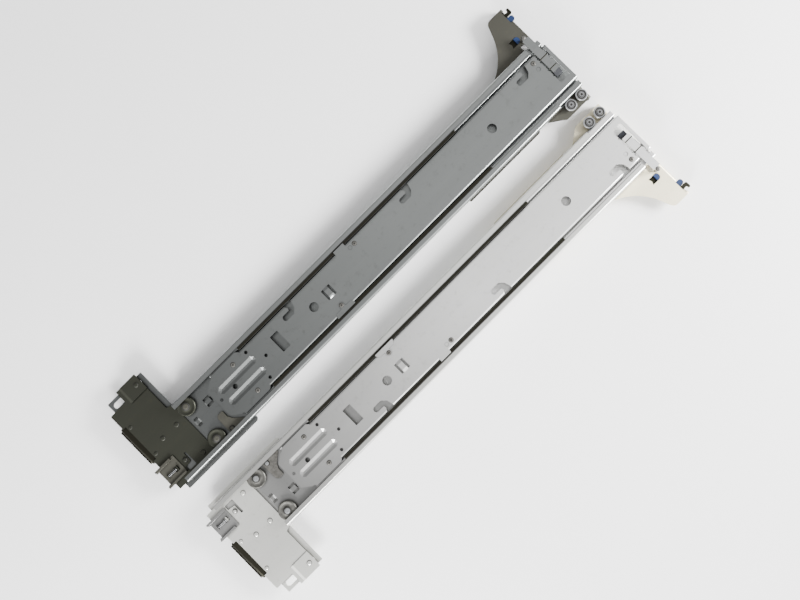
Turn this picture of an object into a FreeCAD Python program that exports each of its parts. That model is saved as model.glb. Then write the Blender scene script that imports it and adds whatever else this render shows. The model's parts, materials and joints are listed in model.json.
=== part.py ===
"""A pair of sliding server rails, one STEP file per piece, in millimetres.

The pair lies on its rack side: +X points to the front of the rack, +Z to the server, and the two rails
are mirror images about Y = 0. Each rail is drawn once, about its own centre line (y = 0 in the functions
below) with its wing towards +y, then placed on the right and mirrored to the left.
"""
import FreeCAD, Part
import math
import os

Vector = FreeCAD.Vector

# ---- where the rails stand ------------------------------------------------------------------------
RAIL_OFFSET = 68.0            # from the plane between the rails to each rail's centre line
FLANGE_DROP = 20.0            # mounting flanges stand this far out under the bracket plates

# ---- the two ends that the other lengths are taken from ---------------------------------------------
BASE_REAR = -375.0            # rear end of the fixed rear plate
CHANNEL_FRONT = 364.0         # front end of the outer channel

# ---- sheet thicknesses and clearances -------------------------------------------------------------
BRACKET_T = 2.0
CHANNEL_T = 1.5
INNER_T = 1.8
SLIDE_GAP = 0.2               # between flat faces that slide on each other
RUNNING_GAP = 0.3             # between curved faces on different moving pieces
RIVET_GAP = 0.05              # round a rivet or pin in its hole

# ---- how finely small round pieces are drawn ------------------------------------------------------
PEG_SIDES = 12
SHANK_SIDES = 6
BEAD_SIDES = 8
COIL_STEPS = 7

# ---- outer channel --------------------------------------------------------------------------------
CHANNEL_HEIGHT = 90.0
CHANNEL_DEPTH = 18.0
CHANNEL_LIP = 7.6
CHANNEL_BEND = 2.5
WEB_REAR = BASE_REAR + 9.0
TOP_FLANGE_REAR = BASE_REAR + 64.0
LOW_FLANGE_FRONT = CHANNEL_FRONT - 21.5   # cut short to make room for the front bearings
CHANNEL_RIVET_R = 2.5
CHANNEL_RIVET_Y = (-24.0, 24.0)
CHANNEL_RIVET_INSET = 20.0    # from the front bracket's tail
CHANNEL_RIVET_BACK = 72.0     # from the channel's front end
BASE_RIVET_INSET = 12.0       # from the rear base plate's front end
CHANNEL_HEAD_R = 4.2
FOOT_HEIGHT = 1.2
HEAD_HEIGHT = 1.3

# ---- middle member --------------------------------------------------------------------------------
WEB_GAP = 2.7                 # between the outer web and the middle web
MIDDLE_DEPTH = 12.0
MIDDLE_FRONT = CHANNEL_FRONT + 21.0
MIDDLE_REAR = BASE_REAR + 68.4
MIDDLE_FLANGE_REAR = MIDDLE_REAR + 60.1
MIDDLE_WINDOW_X = (MIDDLE_FRONT - 265.0, MIDDLE_FRONT - 235.0)
MIDDLE_WINDOW_HALF = 12.0
SIDE_GAP = 0.7                # between the outer wall and the middle wall
RACE_GAP = 2.7                # between the inner wall and the middle member's race wall
RACE_HEIGHT = 8.2

# ---- inner member ---------------------------------------------------------------------------------
INNER_HEIGHT = 62.6
INNER_FRONT = CHANNEL_FRONT + 23.2
INNER_REAR = MIDDLE_REAR + 44.3
INNER_WALL_REAR = INNER_REAR + 67.3
INNER_WALL = 11.0
INNER_LIFT = 1.0              # inner web's top above the outer lips
INNER_BEND = 2.5
INNER_CHAMFER_X = 12.5
INNER_CHAMFER_Y = 9.5

# ---- ball races -----------------------------------------------------------------------------------
BALL_R = 1.55
BALLS_PER_STRIP = 3
RETAINER_T = 0.7
RETAINER_REAR = INNER_WALL_REAR + 2.0
RETAINER_FRONT = INNER_FRONT - 166.2
RETAINER_LIP = 4.3

# ---- server slots in the inner member -------------------------------------------------------------
SLOT_PITCH = 222.1
SLOT_FRONT_X = INNER_FRONT - 59.8
SLOT_Y = 18.4
SLOT_R = 4.15
SLOT_COUNT = 3
THROAT_NEAR = 10.0            # from the hook's centre to the throat's rear side
THROAT_FAR = 20.4

# ---- openings and embossing in the inner member ---------------------------------------------------
ROUND_HOLES = ((INNER_FRONT - 129.2, 1.3), (INNER_REAR + 182.7, 1.6))
ROUND_HOLE_R = 6.6
WINDOW_X = INNER_REAR + 118.1
WINDOW_Y = 1.4
WINDOW_SIZE = (13.4, 27.0)
LANCE_X = INNER_REAR + 211.0
LANCE_Y = 1.6
LANCE_SIZE = (14.8, 16.0)
SMALL_HOLES = ((INNER_REAR + 6.3, 1.2), (INNER_REAR + 74.5, 23.6), (INNER_REAR + 74.5, -23.2),
               (INNER_REAR + 91.1, 1.5))
SMALL_HOLE_R = 2.4
STOP_HOLE = (INNER_REAR + 32.3, 1.3)
STOP_HOLE_R = 3.6
RIB_X = (INNER_REAR + 11.3, INNER_REAR + 77.8)
RIB_Y = 10.2
RIB_WIDTH = 11.4
RIB_FLOOR = 3.0               # width of the rib at its bottom
RIB_DEPTH = 1.6
TAIL_LANCES = ((MIDDLE_REAR + 1.4, MIDDLE_REAR + 7.7, -2.2, 11.0),
               (MIDDLE_REAR + 28.9, MIDDLE_REAR + 39.4, 8.2, 21.2))
LANCE_BAR = 5.8               # width of the raised bars in the middle member's tail
LANCE_RISE = 1.5
DIMPLES = ((INNER_REAR + 273.3, 23.6), (INNER_FRONT - 29.4, 13.2))
DIMPLE_R = 3.2
DIMPLE_DEPTH = 0.8
INNER_RIVETS = ((INNER_REAR + 50.3, 24.2), (INNER_REAR + 50.3, -24.0), (INNER_REAR + 210.7, -23.0),
                (INNER_REAR + 281.4, 23.6), (INNER_FRONT - 29.0, 23.6))
INNER_RIVET_R = 3.5
INNER_SHANK_R = 2.1
INNER_RIVET_HEAD = 0.9
CLIP_RIVET = INNER_RIVETS[2]
CLIP_T = 0.8

# ---- rear rollers and detent pawl -----------------------------------------------------------------
ROLLER_R = 13.1
ROLLER_X = MIDDLE_REAR + 8.6
ROLLER_WIDTH = 8.0
ROLLER_HUB_R = 3.0
ROLLER_HEAD_R = 5.7
PAWL_PIVOT = (MIDDLE_REAR + 32.3, -34.6)
PAWL_T = 2.5
PAWL_PIN_R = 2.0
PAWL_HEAD_R = 3.9

# ---- front bracket --------------------------------------------------------------------------------
FLANGE_FACE = CHANNEL_FRONT + 21.0
WING_TOP = 109.5
WING_BOTTOM = -61.0
WING_FOOT_Y = 45.5
WING_HEAD = 27.5              # length of the wing's top edge
WING_HEAD_X = FLANGE_FACE - WING_HEAD
WING_WAIST = 46.7             # how far back the wing's curve reaches its waist
WING_WAIST_Y = 61.6
WING_CURVE_R = 80.0
WING_ROOT = (89.0, 79.0)      # the wing's root on the channel, from the flange
WING_FOOT_X = (FLANGE_FACE - WING_ROOT[0], FLANGE_FACE - WING_ROOT[1])
FOOT_SLOPE = (69.0, 44.0)     # the foot's sloping edge, from the flange
FOOT_SLOPE_X = (FLANGE_FACE - FOOT_SLOPE[0], FLANGE_FACE - FOOT_SLOPE[1])
RECESS_X = (FLANGE_FACE - 19.0, FLANGE_FACE - 9.5)
RECESS_Y = (44.0, 54.0)
BRACKET_TAIL = FLANGE_FACE - 215.0
LEDGE_FRONT = FLANGE_FACE - 83.0   # where the tail's ledge ends and the foot begins
BRACKET_LEDGE = 2.0           # tail plate standing out below the channel
FLANGE_BEND = 3.0
BOLT_Z = 9.0
BOLT_SPACING = 44.45          # one rack unit
FRONT_BOLT_R = 3.4
BEARING_R = 8.0
BEARING_BORE_R = 2.5
BEARING_WIDTH = 5.0
BEARING_STAND = 9.0           # from the bracket to the bearing
BEARING_X = (FLANGE_FACE - 29.8, FLANGE_FACE - 10.4)
BEARING_CONE_R = 4.3
STUD_HEAD_R = 3.6

# ---- front release latch --------------------------------------------------------------------------
RELEASE_T = 2.0
RELEASE_TRAVEL = 6.0
HOOK_TIP = FLANGE_FACE + 7.5
HOOK_Y = (95.8, 104.8)
HOOK_SHELF = 5.4              # depth of the hook's shank
SLIDE_LENGTH = 27.0
SLIDE_X = (FLANGE_FACE - 6.0 - SLIDE_LENGTH, FLANGE_FACE - 6.0)
SLIDE_Y = (56.0, 84.0)
SLIDE_BAR = 11.0
SPRING_STOP = SLIDE_X[0] - 7.0
TONGUE_TIP = FLANGE_FACE + 5.5
TONGUE_Y = (87.2, 95.4)
TAB_X = (FLANGE_FACE - 18.6, FLANGE_FACE - 12.2)
TAB_Y = (59.4, 68.4)
TAB_RISE = 1.2
PAD_T = 3.0
SPRING_R = 2.4
WIRE_R = 0.45

# ---- front latch lever on the inner member --------------------------------------------------------
LEVER_X = (INNER_FRONT - 19.0, INNER_FRONT - 7.8)
LEVER_T = 1.5
LEVER_PIVOT_Y = 19.9
LEVER_TIP_Y = 54.2
LEVER_PAD_Y = -4.3
LEVER_POCKET_Y = -21.0
LEVER_GAP_X = 2.0
LEVER_SPRING_SPACE = 3.1
RELIEF_R = 1.2                # bend reliefs beside the notch's ears
RELIEF_Y = (-7.4, 2.8, 17.4, 23.2)
LEVER_PIN_R = 1.25
LEVER_PIN_DROP = 2.0          # pivot pin's axis below the inner web
LOCK_PIN = (INNER_FRONT - 14.1, 57.0)
LOCK_PIN_R = 2.0

# ---- rear base plate and bracket ------------------------------------------------------------------
BASE_FRONT = BASE_REAR + 134.0
BASE_LEDGE = 6.0              # stands out below the channel
ARM_REAR = BASE_REAR - 1.5
ARM_FRONT = BASE_REAR + 62.2
ARM_Y = (88.0, 109.5)
REAR_TRAVEL = 38.0
GUIDE_R = 3.2
GUIDE_NECK_R = 2.5
GUIDE_HEAD_R = 3.5
SMALL_SHANK_R = 1.5
TOP_GUIDE_R = 3.9
PLATE_REAR = BASE_REAR - 9.0
PLATE_FRONT = PLATE_REAR + 72.4
PLATE_SHOULDER_X = PLATE_FRONT - 9.0
GUIDE_X = PLATE_FRONT - 15.0
GUIDE_PITCH = 26.4
GUIDE_TOP = (GUIDE_X - 1.4, 100.4)
GUIDES = ((GUIDE_X, 22.9), (GUIDE_X - GUIDE_PITCH, 22.9))
GLIDE = (GUIDE_X, -29.5)
PLATE_TOP = 94.3
TAB_TOP = 113.0
TAB_LOW = 87.0
TAB_JOG = (PLATE_SHOULDER_X - 29.9, PLATE_SHOULDER_X - 25.9)
MOUNT_Y = (10.0, 70.0)
MOUNT_FACE = PLATE_REAR - 7.0
MOUNT_BLOCK_T = 3.0
REAR_BOLT_SPACING = 15.875
REAR_BOLT_R = 2.5            # tapped

# ---- rear latch -----------------------------------------------------------------------------------
LATCH_Y = (-33.4, -2.5)
LATCH_REAR = PLATE_REAR - 8.5
LATCH_FRONT = LATCH_REAR + 33.0
LATCH_T = 1.3
LATCH_WALL = 5.5
LATCH_TRAVEL = 4.0
LATCH_SPRING_Y = -20.0
LATCH_SPRING_X = (LATCH_REAR + 10.2, LATCH_REAR + 25.3)
LATCH_SCREW = (LATCH_FRONT + 8.0, -19.5)

# ---- levels worked out from the sizes above -------------------------------------------------------
Z_PLATE = FLANGE_DROP                         # underside of the bracket plates
Z_OUTER = Z_PLATE + BRACKET_T                 # underside of the outer channel
Z_LIP = Z_OUTER + CHANNEL_DEPTH               # top of the outer lips
Z_MIDDLE = Z_OUTER + CHANNEL_T + WEB_GAP      # underside of the middle web
Z_TAIL = Z_MIDDLE + CHANNEL_T                 # top of the middle web
Z_MIDDLE_LIP = Z_MIDDLE + MIDDLE_DEPTH
Z_INNER_TOP = Z_LIP + INNER_LIFT
Z_INNER = Z_INNER_TOP - INNER_T               # underside of the inner web
Z_WALL_FOOT = Z_INNER_TOP - INNER_WALL
Z_REAR = Z_OUTER + CHANNEL_T + SLIDE_GAP      # underside of the sliding rear bracket
Z_REAR_TOP = Z_REAR + BRACKET_T
Z_RELEASE = Z_PLATE - SLIDE_GAP - RELEASE_T   # underside of the release slide
Z_PAD = Z_RELEASE - PAD_T
Z_LEVER = Z_INNER_TOP + RUNNING_GAP
Z_PIN = Z_INNER - LEVER_PIN_DROP
Z_LATCH = Z_REAR_TOP + SLIDE_GAP
Z_BEARING = Z_OUTER + BEARING_STAND

OUTER_HALF = CHANNEL_HEIGHT / 2
OUTER_LIP_EDGE = OUTER_HALF - CHANNEL_LIP
MIDDLE_HALF = OUTER_HALF - CHANNEL_T - SIDE_GAP
INNER_HALF = INNER_HEIGHT / 2
RACE_Y = INNER_HALF + RACE_GAP
BALL_Y = INNER_HALF + RACE_GAP / 2
BALL_Z = Z_WALL_FOOT + INNER_WALL * 0.36
GROOVE_R = BALL_R + RUNNING_GAP
ROLLER_Y = OUTER_HALF - CHANNEL_T - RUNNING_GAP - ROLLER_R
BEARING_Y = -(MIDDLE_HALF + RUNNING_GAP + BEARING_R)
ROLLER_Z = Z_TAIL + 2 * SLIDE_GAP + 0.3
LEVER_NOTCH_X = (LEVER_X[0] - LEVER_GAP_X, LEVER_X[1] + LEVER_SPRING_SPACE)


# ---- shape helpers --------------------------------------------------------------------------------
def block(x0, x1, y0, y1, z0, z1):
    return Part.makeBox(x1 - x0, y1 - y0, z1 - z0, Vector(x0, y0, z0))


def disc(x, y, z0, z1, radius):
    return Part.makeCylinder(radius, z1 - z0, Vector(x, y, z0))


def peg(x, y, z0, z1, radius, sides=PEG_SIDES):
    """Prism with a regular outline, for small fasteners and the holes that they fill."""
    turns = [2 * math.pi * (n + 0.5) / sides for n in range(sides)]
    spots = [Vector(x + radius * math.cos(a), y + radius * math.sin(a), z0) for a in turns]
    return Part.Face(Part.makePolygon(spots + [spots[0]])).extrude(Vector(0, 0, z1 - z0))


def rod_x(x0, x1, y, z, radius):
    return Part.makeCylinder(radius, x1 - x0, Vector(x0, y, z), Vector(1, 0, 0))


def rod_y(x, y0, y1, z, radius):
    return Part.makeCylinder(radius, y1 - y0, Vector(x, y0, z), Vector(0, 1, 0))


def join(shapes):
    return shapes[0].multiFuse(shapes[1:]).removeSplitter()


def cut(shape, tools):
    return shape.cut(Part.makeCompound(tools))


def corner(here, before, after, radius):
    """Start, middle and end of the arc that rounds one corner of an outline."""
    to_before = (before - here).normalize()
    to_after = (after - here).normalize()
    half = to_before.getAngle(to_after) / 2
    reach = radius / math.tan(half)
    centre = here + (to_before + to_after).normalize() * (radius / math.sin(half))
    middle = centre + (here - centre).normalize() * radius
    return here + to_before * reach, middle, here + to_after * reach


def outline(points, place):
    """A flat face through corner points; a third number on a point is that corner's radius."""
    spots = [place(point[0], point[1]) for point in points]
    edges = []
    pieces = []
    for index, point in enumerate(points):
        here = spots[index]
        after = spots[(index + 1) % len(spots)]
        if len(point) > 2 and point[2] > 0:
            pieces.append(corner(here, spots[index - 1], after, point[2]))
        else:
            pieces.append((here, None, here))
    for index, (start, middle, end) in enumerate(pieces):
        if middle is not None:
            edges.append(Part.Arc(start, middle, end).toShape())
        following = pieces[(index + 1) % len(pieces)][0]
        if end.distanceToPoint(following) > 1e-6:
            edges.append(Part.makeLine(end, following))
    return Part.Face(Part.Wire(edges))


def plate(points, z0, z1):
    """Outline seen from above, given thickness along z."""
    return outline(points, lambda x, y: Vector(x, y, z0)).extrude(Vector(0, 0, z1 - z0))


def section(points, x0, x1):
    """Cross-section in y and z, run along x."""
    return outline(points, lambda y, z: Vector(x0, y, z)).extrude(Vector(x1 - x0, 0, 0))


def folded(points, y0, y1):
    """Side profile in x and z, run along y."""
    return outline(points, lambda x, z: Vector(x, y0, z)).extrude(Vector(0, y1 - y0, 0))


def rounded_block(x0, x1, y0, y1, z0, z1, radius):
    return plate([(x0, y0, radius), (x1, y0, radius), (x1, y1, radius), (x0, y1, radius)], z0, z1)


def slot(x0, x1, y, radius, z0, z1):
    """Straight slot with round ends; x0 and x1 are the centres of the ends."""
    return join([block(x0, x1, y - radius, y + radius, z0, z1),
                 disc(x0, y, z0, z1, radius), disc(x1, y, z0, z1, radius)])


def rivet(x, y, z_levels, shank_r, head_r, foot_r):
    """Foot head, shank and top head on one axis; z_levels run from the bottom up."""
    z_foot, z_low, z_high, z_top = z_levels
    shapes = [peg(x, y, z_low, z_high, shank_r, SHANK_SIDES), peg(x, y, z_high, z_top, head_r)]
    if z_low > z_foot:
        shapes.append(peg(x, y, z_foot, z_low, foot_r))
    return join(shapes)


def hole(x, y, z0, z1, shank_r):
    """Room for a rivet's shank."""
    return peg(x, y, z0, z1, shank_r + RIVET_GAP, SHANK_SIDES)


def coil(start, direction, length, turns, radius, wire):
    """Open coil spring of four-sided wire, in straight steps, from start in the given direction."""
    count = turns * COIL_STEPS
    rings = []
    for n in range(count + 1):
        angle = 2 * math.pi * n / COIL_STEPS
        along = length * n / count
        out = Vector(math.cos(angle), math.sin(angle), 0)
        middle = out * radius + Vector(0, 0, along)
        rise = Vector(0, 0, wire)
        spots = [middle - out * wire, middle - rise, middle + out * wire, middle + rise]
        rings.append(Part.makePolygon(spots + [spots[0]]))
    shape = Part.makeLoft(rings, True, True)
    shape.Placement = FreeCAD.Placement(start, FreeCAD.Rotation(Vector(0, 0, 1), direction))
    return shape


# ---- outer channel and its fixings ----------------------------------------------------------------
def channel_section():
    half = OUTER_HALF
    inside = half - CHANNEL_T
    low = Z_OUTER + CHANNEL_T
    high = Z_LIP - CHANNEL_T
    bend = CHANNEL_BEND
    tight = CHANNEL_BEND - CHANNEL_T
    right = [(OUTER_LIP_EDGE, Z_LIP), (OUTER_LIP_EDGE, high), (inside, high, tight), (inside, low, tight)]
    left = [(-y, z, *r) for y, z, *r in reversed(right)]
    outside = [(-half, Z_LIP, bend), (-half, Z_OUTER, bend), (half, Z_OUTER, bend), (half, Z_LIP, bend)]
    return right + left + outside


def guide_slots(z0, z1):
    """Slots that the rear bracket's guide rivets slide in."""
    radius = GUIDE_R + SLIDE_GAP
    tools = []
    for x, y in GUIDES:
        tools.append(slot(x - REAR_TRAVEL - 1.0, x + 0.5, y, radius, z0, z1))
    return tools


def outer_channel():
    body = section(channel_section(), WEB_REAR, CHANNEL_FRONT)
    edge = OUTER_LIP_EDGE - 1
    low = Z_OUTER + CHANNEL_T
    tools = [block(WEB_REAR - 1, TOP_FLANGE_REAR, edge, OUTER_HALF + 1, low, Z_LIP + 1),
             block(LOW_FLANGE_FRONT, CHANNEL_FRONT + 1, -OUTER_HALF - 1, -edge, low, Z_LIP + 1)]
    tools += guide_slots(Z_OUTER - 1, low + 1)
    tools += [hole(x, y, Z_OUTER - 1, low + 1, CHANNEL_RIVET_R) for x, y in channel_rivet_places()]
    return cut(body, tools)


def channel_rivet_places():
    lengths = (BRACKET_TAIL + CHANNEL_RIVET_INSET, CHANNEL_FRONT - CHANNEL_RIVET_BACK)
    front = [(x, y) for x in lengths for y in CHANNEL_RIVET_Y]
    return front + [(BASE_FRONT - BASE_RIVET_INSET, y) for y in CHANNEL_RIVET_Y]


def channel_rivets():
    web_top = Z_OUTER + CHANNEL_T
    z_levels = (Z_PLATE - FOOT_HEIGHT, Z_PLATE, web_top, web_top + HEAD_HEIGHT)
    return [rivet(x, y, z_levels, CHANNEL_RIVET_R, CHANNEL_HEAD_R, CHANNEL_HEAD_R)
            for x, y in channel_rivet_places()]


# ---- front bracket --------------------------------------------------------------------------------
def front_bracket():
    edge = FLANGE_FACE - 2 * FLANGE_BEND
    tail_low = -OUTER_HALF - BRACKET_LEDGE
    wing = plate([(BRACKET_TAIL, tail_low, 2), (LEDGE_FRONT, tail_low, 2), (LEDGE_FRONT + 3.0, -OUTER_HALF + 2),
                  (FOOT_SLOPE_X[0], -OUTER_HALF + 2), (FOOT_SLOPE_X[1], WING_BOTTOM, 4), (edge, WING_BOTTOM),
                  (edge, WING_TOP), (WING_HEAD_X, WING_TOP, 8), (FLANGE_FACE - WING_WAIST, WING_WAIST_Y, WING_CURVE_R),
                  (WING_FOOT_X[1], WING_FOOT_Y, 0), (WING_FOOT_X[0], OUTER_HALF - 2, 0),
                  (BRACKET_TAIL, OUTER_HALF - 2, 2)], Z_PLATE, Z_OUTER)
    face = FLANGE_FACE
    inner = face - BRACKET_T
    fold = folded([(edge, Z_PLATE), (inner, Z_PLATE, FLANGE_BEND - BRACKET_T), (inner, 0), (face, 0),
                   (face, Z_OUTER, FLANGE_BEND), (edge, Z_OUTER)], WING_BOTTOM, WING_TOP)
    return cut(join([wing, fold] + release_guides()), bracket_cuts())


def release_guides():
    """Lugs bent under the wing: two keep the release slide up, one carries its spring."""
    low = Z_RELEASE - SLIDE_GAP - CHANNEL_T
    shelf = Z_RELEASE - SLIDE_GAP
    x0 = SLIDE_X[0] + 8.0
    x1 = SLIDE_X[1] - 3.0
    wall = SLIDE_Y[0] - 0.3
    lower = [block(x0, x1, wall - CHANNEL_T, wall, low, Z_PLATE),
             block(x0, x1, wall - CHANNEL_T, wall + 2.3, low, shelf)]
    top = HOOK_Y[0] + HOOK_SHELF + 0.3
    x0 = SLIDE_X[1] - 12.0
    x1 = SLIDE_X[1] - 2.0
    upper = [block(x0, x1, top, top + CHANNEL_T, low, Z_PLATE),
             block(x0, x1, top - 3.0, top + CHANNEL_T, low, shelf)]
    stop = block(SPRING_STOP - CHANNEL_T, SPRING_STOP, SLIDE_Y[0] + 6.0, SLIDE_Y[0] + 15.0, Z_PLATE - 7.0, Z_PLATE)
    return lower + upper + [stop]


def bracket_cuts():
    z0 = Z_PLATE - 1
    z1 = Z_OUTER + 1
    gap = RUNNING_GAP
    window_y = (TAB_Y[0] - gap, TAB_Y[1] + gap)
    window_x0 = TAB_X[0] - RELEASE_TRAVEL - 2.3
    window = plate([(window_x0, window_y[0]), (TAB_X[1] + gap, window_y[0], 4.3), (TAB_X[1] + gap, window_y[1], 4.3),
                    (window_x0, window_y[1]), (window_x0 + 1.8, (window_y[0] + window_y[1]) / 2, 3.0)], z0, z1)
    recess = rounded_block(*RECESS_X, *RECESS_Y, z0, z1, 1.5)
    notch = block(FLANGE_FACE - FLANGE_BEND - 1, FLANGE_FACE + 1, TONGUE_Y[0] - 0.6, HOOK_Y[1] + 0.8,
                  Z_PAD - 0.8, Z_OUTER + 1)
    tools = [window, recess, notch]
    tools += [rod_x(FLANGE_FACE - 4, FLANGE_FACE + 1, n * BOLT_SPACING, BOLT_Z, FRONT_BOLT_R) for n in (-1, 0, 1)]
    tools += [hole(x, BEARING_Y, z0, z1, BEARING_BORE_R) for x in BEARING_X]
    tools += [hole(x, y, z0, z1, CHANNEL_RIVET_R) for x, y in channel_rivet_places()[:4]]
    return tools


# ---- front bearings -------------------------------------------------------------------------------
def bearing_studs():
    """Studs riveted into the bracket, each with its collar and the bearing's inner ring."""
    shapes = []
    top = Z_BEARING + BEARING_WIDTH
    for x in BEARING_X:
        foot = peg(x, BEARING_Y, Z_PLATE - 1.2, Z_PLATE, 3.6)
        shank = peg(x, BEARING_Y, Z_PLATE, Z_OUTER, BEARING_BORE_R, SHANK_SIDES)
        cone = disc(x, BEARING_Y, Z_OUTER, top, BEARING_CONE_R)
        head = peg(x, BEARING_Y, top, top + 1.6, STUD_HEAD_R)
        shapes.append(join([foot, shank, cone, head]))
    return shapes


def ring(x, y, z0, z1, outer_r, inner_r):
    return disc(x, y, z0, z1, outer_r).cut(disc(x, y, z0 - 1, z1 + 1, inner_r))


def bearing_cup(x):
    """Outer ring, closed towards the inner ring by its shield."""
    return ring(x, BEARING_Y, Z_BEARING, Z_BEARING + BEARING_WIDTH, BEARING_R, BEARING_CONE_R + RUNNING_GAP)


# ---- middle member --------------------------------------------------------------------------------
def middle_section():
    half = MIDDLE_HALF
    inside = half - CHANNEL_T
    low = Z_MIDDLE + CHANNEL_T
    high = Z_MIDDLE_LIP - CHANNEL_T
    foot = Z_MIDDLE_LIP - RACE_HEIGHT
    race = RACE_Y + CHANNEL_T
    right = [(RACE_Y, Z_MIDDLE_LIP, 1.2), (RACE_Y, foot), (race, foot), (race, high, 0.3), (inside, high, 0.5),
             (inside, low, 0.5)]
    left = [(-y, z, *r) for y, z, *r in reversed(right)]
    outside = [(-half, Z_MIDDLE_LIP, 2), (-half, Z_MIDDLE, 2), (half, Z_MIDDLE, 2), (half, Z_MIDDLE_LIP, 2)]
    return right + left + outside


def groove_tools(x0, x1):
    return [rod_x(x0, x1, side * BALL_Y, BALL_Z, GROOVE_R) for side in (-1, 1)]


def lance(x0, x1, y0, y1):
    """Window with a raised bar across it: returns the window tool and the bar."""
    middle = (y0 + y1) / 2
    window = block(x0, x1, y0, y1, Z_MIDDLE - 1, Z_TAIL + 1)
    top = Z_TAIL + LANCE_RISE
    under = top - CHANNEL_T + 0.3
    bar = folded([(x0 - 1, Z_TAIL - 1), (x0 + 1, under), (x1 - 1, under), (x1 + 1, Z_TAIL - 1),
                  (x1 + 1, Z_TAIL), (x1 - 1, top), (x0 + 1, top), (x0 - 1, Z_TAIL)],
                 middle - LANCE_BAR / 2, middle + LANCE_BAR / 2)
    return window, bar


def middle_member():
    body = section(middle_section(), MIDDLE_REAR, MIDDLE_FRONT)
    race_edge = RACE_Y - 1
    tools = groove_tools(MIDDLE_REAR - 1, MIDDLE_FRONT + 1)
    for side in (-1, 1):
        y0, y1 = sorted((side * race_edge, side * (MIDDLE_HALF + 1)))
        tools.append(block(MIDDLE_REAR - 1, MIDDLE_FLANGE_REAR, y0, y1, Z_TAIL, Z_MIDDLE_LIP + 1))
    lances = [lance(*sizes) for sizes in TAIL_LANCES]
    tools += [window for window, bar in lances]
    tools += [disc(ROLLER_X, side * ROLLER_Y, Z_MIDDLE - 1, Z_TAIL + 1, ROLLER_HUB_R + RIVET_GAP) for side in (-1, 1)]
    tools.append(disc(*PAWL_PIVOT, Z_MIDDLE - 1, Z_TAIL + 1, PAWL_PIN_R + RIVET_GAP))
    tools.append(rounded_block(*MIDDLE_WINDOW_X, -MIDDLE_WINDOW_HALF, MIDDLE_WINDOW_HALF,
                               Z_MIDDLE - 1, Z_TAIL + 1, 3))
    return join([cut(body, tools)] + [bar for window, bar in lances])


def pivot_pin(x, y, z_levels, shank_r, head_r, foot_r):
    """Rivet with a round shank that another piece turns on."""
    z_foot, z_low, z_high, z_top = z_levels
    return join([peg(x, y, z_foot, z_low, foot_r), disc(x, y, z_low, z_high, shank_r),
                 peg(x, y, z_high, z_top, head_r)])


def middle_pins():
    """Two roller studs and the pawl's pivot, riveted into the middle member."""
    low = Z_MIDDLE - 0.9
    top = ROLLER_Z + ROLLER_WIDTH + SLIDE_GAP
    pawl_top = Z_TAIL + 2 * SLIDE_GAP + PAWL_T
    pins = [pivot_pin(ROLLER_X, side * ROLLER_Y, (low, Z_MIDDLE, top, top + 1.5), ROLLER_HUB_R, ROLLER_HEAD_R, 4.5)
            for side in (-1, 1)]
    pins.append(pivot_pin(*PAWL_PIVOT, (low, Z_MIDDLE, pawl_top, pawl_top + 1.2), PAWL_PIN_R, PAWL_HEAD_R, 3.0))
    return pins


def rear_roller(side):
    return ring(ROLLER_X, side * ROLLER_Y, ROLLER_Z, ROLLER_Z + ROLLER_WIDTH, ROLLER_R, ROLLER_HUB_R + RIVET_GAP)


def detent_pawl():
    x, y = PAWL_PIVOT
    z0 = Z_TAIL + SLIDE_GAP
    body = plate([(x - 6.1, y - 2.8, 2), (x + 24.3, y - 2.8, 1), (x + 10.1, y + 8.7, 4), (x + 6.1, y + 16.1, 3),
                  (x + 6.1, y + 26.2, 1), (x - 2.7, y + 26.2, 2), (x - 5.4, y + 22.2, 2)], z0, z0 + PAWL_T)
    return body.cut(disc(x, y, z0 - 1, z0 + PAWL_T + 1, PAWL_PIN_R + RIVET_GAP))


# ---- inner member ---------------------------------------------------------------------------------
def inner_section():
    half = INNER_HALF
    inside = half - INNER_T
    tight = INNER_BEND - INNER_T
    return [(half, Z_WALL_FOOT), (half, Z_INNER_TOP, INNER_BEND), (-half, Z_INNER_TOP, INNER_BEND),
            (-half, Z_WALL_FOOT), (-inside, Z_WALL_FOOT), (-inside, Z_INNER, tight), (inside, Z_INNER, tight),
            (inside, Z_WALL_FOOT)]


def inner_tail():
    half = INNER_HALF
    lug = half + 3.2
    rear = INNER_REAR
    points = [(INNER_WALL_REAR, -half), (INNER_WALL_REAR, half),
              (INNER_WALL_REAR - 4, lug), (MIDDLE_FLANGE_REAR + 2, lug), (MIDDLE_FLANGE_REAR, half),
              (rear + INNER_CHAMFER_X, half - 0.5, 3), (rear, half - INNER_CHAMFER_Y, 3)]
    low = [(x, -y, *r) for x, y, *r in reversed(points[2:])]
    return plate(points + low, Z_INNER, Z_INNER_TOP)


def server_slot(x):
    """J-shaped slot, open at the top edge, that catches a server's shoulder stud."""
    top = INNER_HALF + 6
    radius = SLOT_R
    points = [(x - radius, SLOT_Y - radius, radius * 0.98), (x + 12.1, SLOT_Y - radius, 3),
              (x + THROAT_FAR - 2.2, SLOT_Y + 1.6, 3), (x + THROAT_FAR, SLOT_Y + 10.0),
              (x + THROAT_FAR + 0.4, top), (x + THROAT_NEAR - 2.8, top), (x + THROAT_NEAR - 2.2, INNER_HALF - 0.5),
              (x + THROAT_NEAR + 0.8, SLOT_Y + 7.6, 2), (x + THROAT_NEAR + 0.1, SLOT_Y + radius, 1),
              (x - radius, SLOT_Y + radius, radius * 0.98)]
    return plate(points, Z_WALL_FOOT - 1, Z_INNER_TOP + 1)


def slot_places():
    return [SLOT_FRONT_X - SLOT_PITCH * n for n in range(SLOT_COUNT)]


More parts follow.
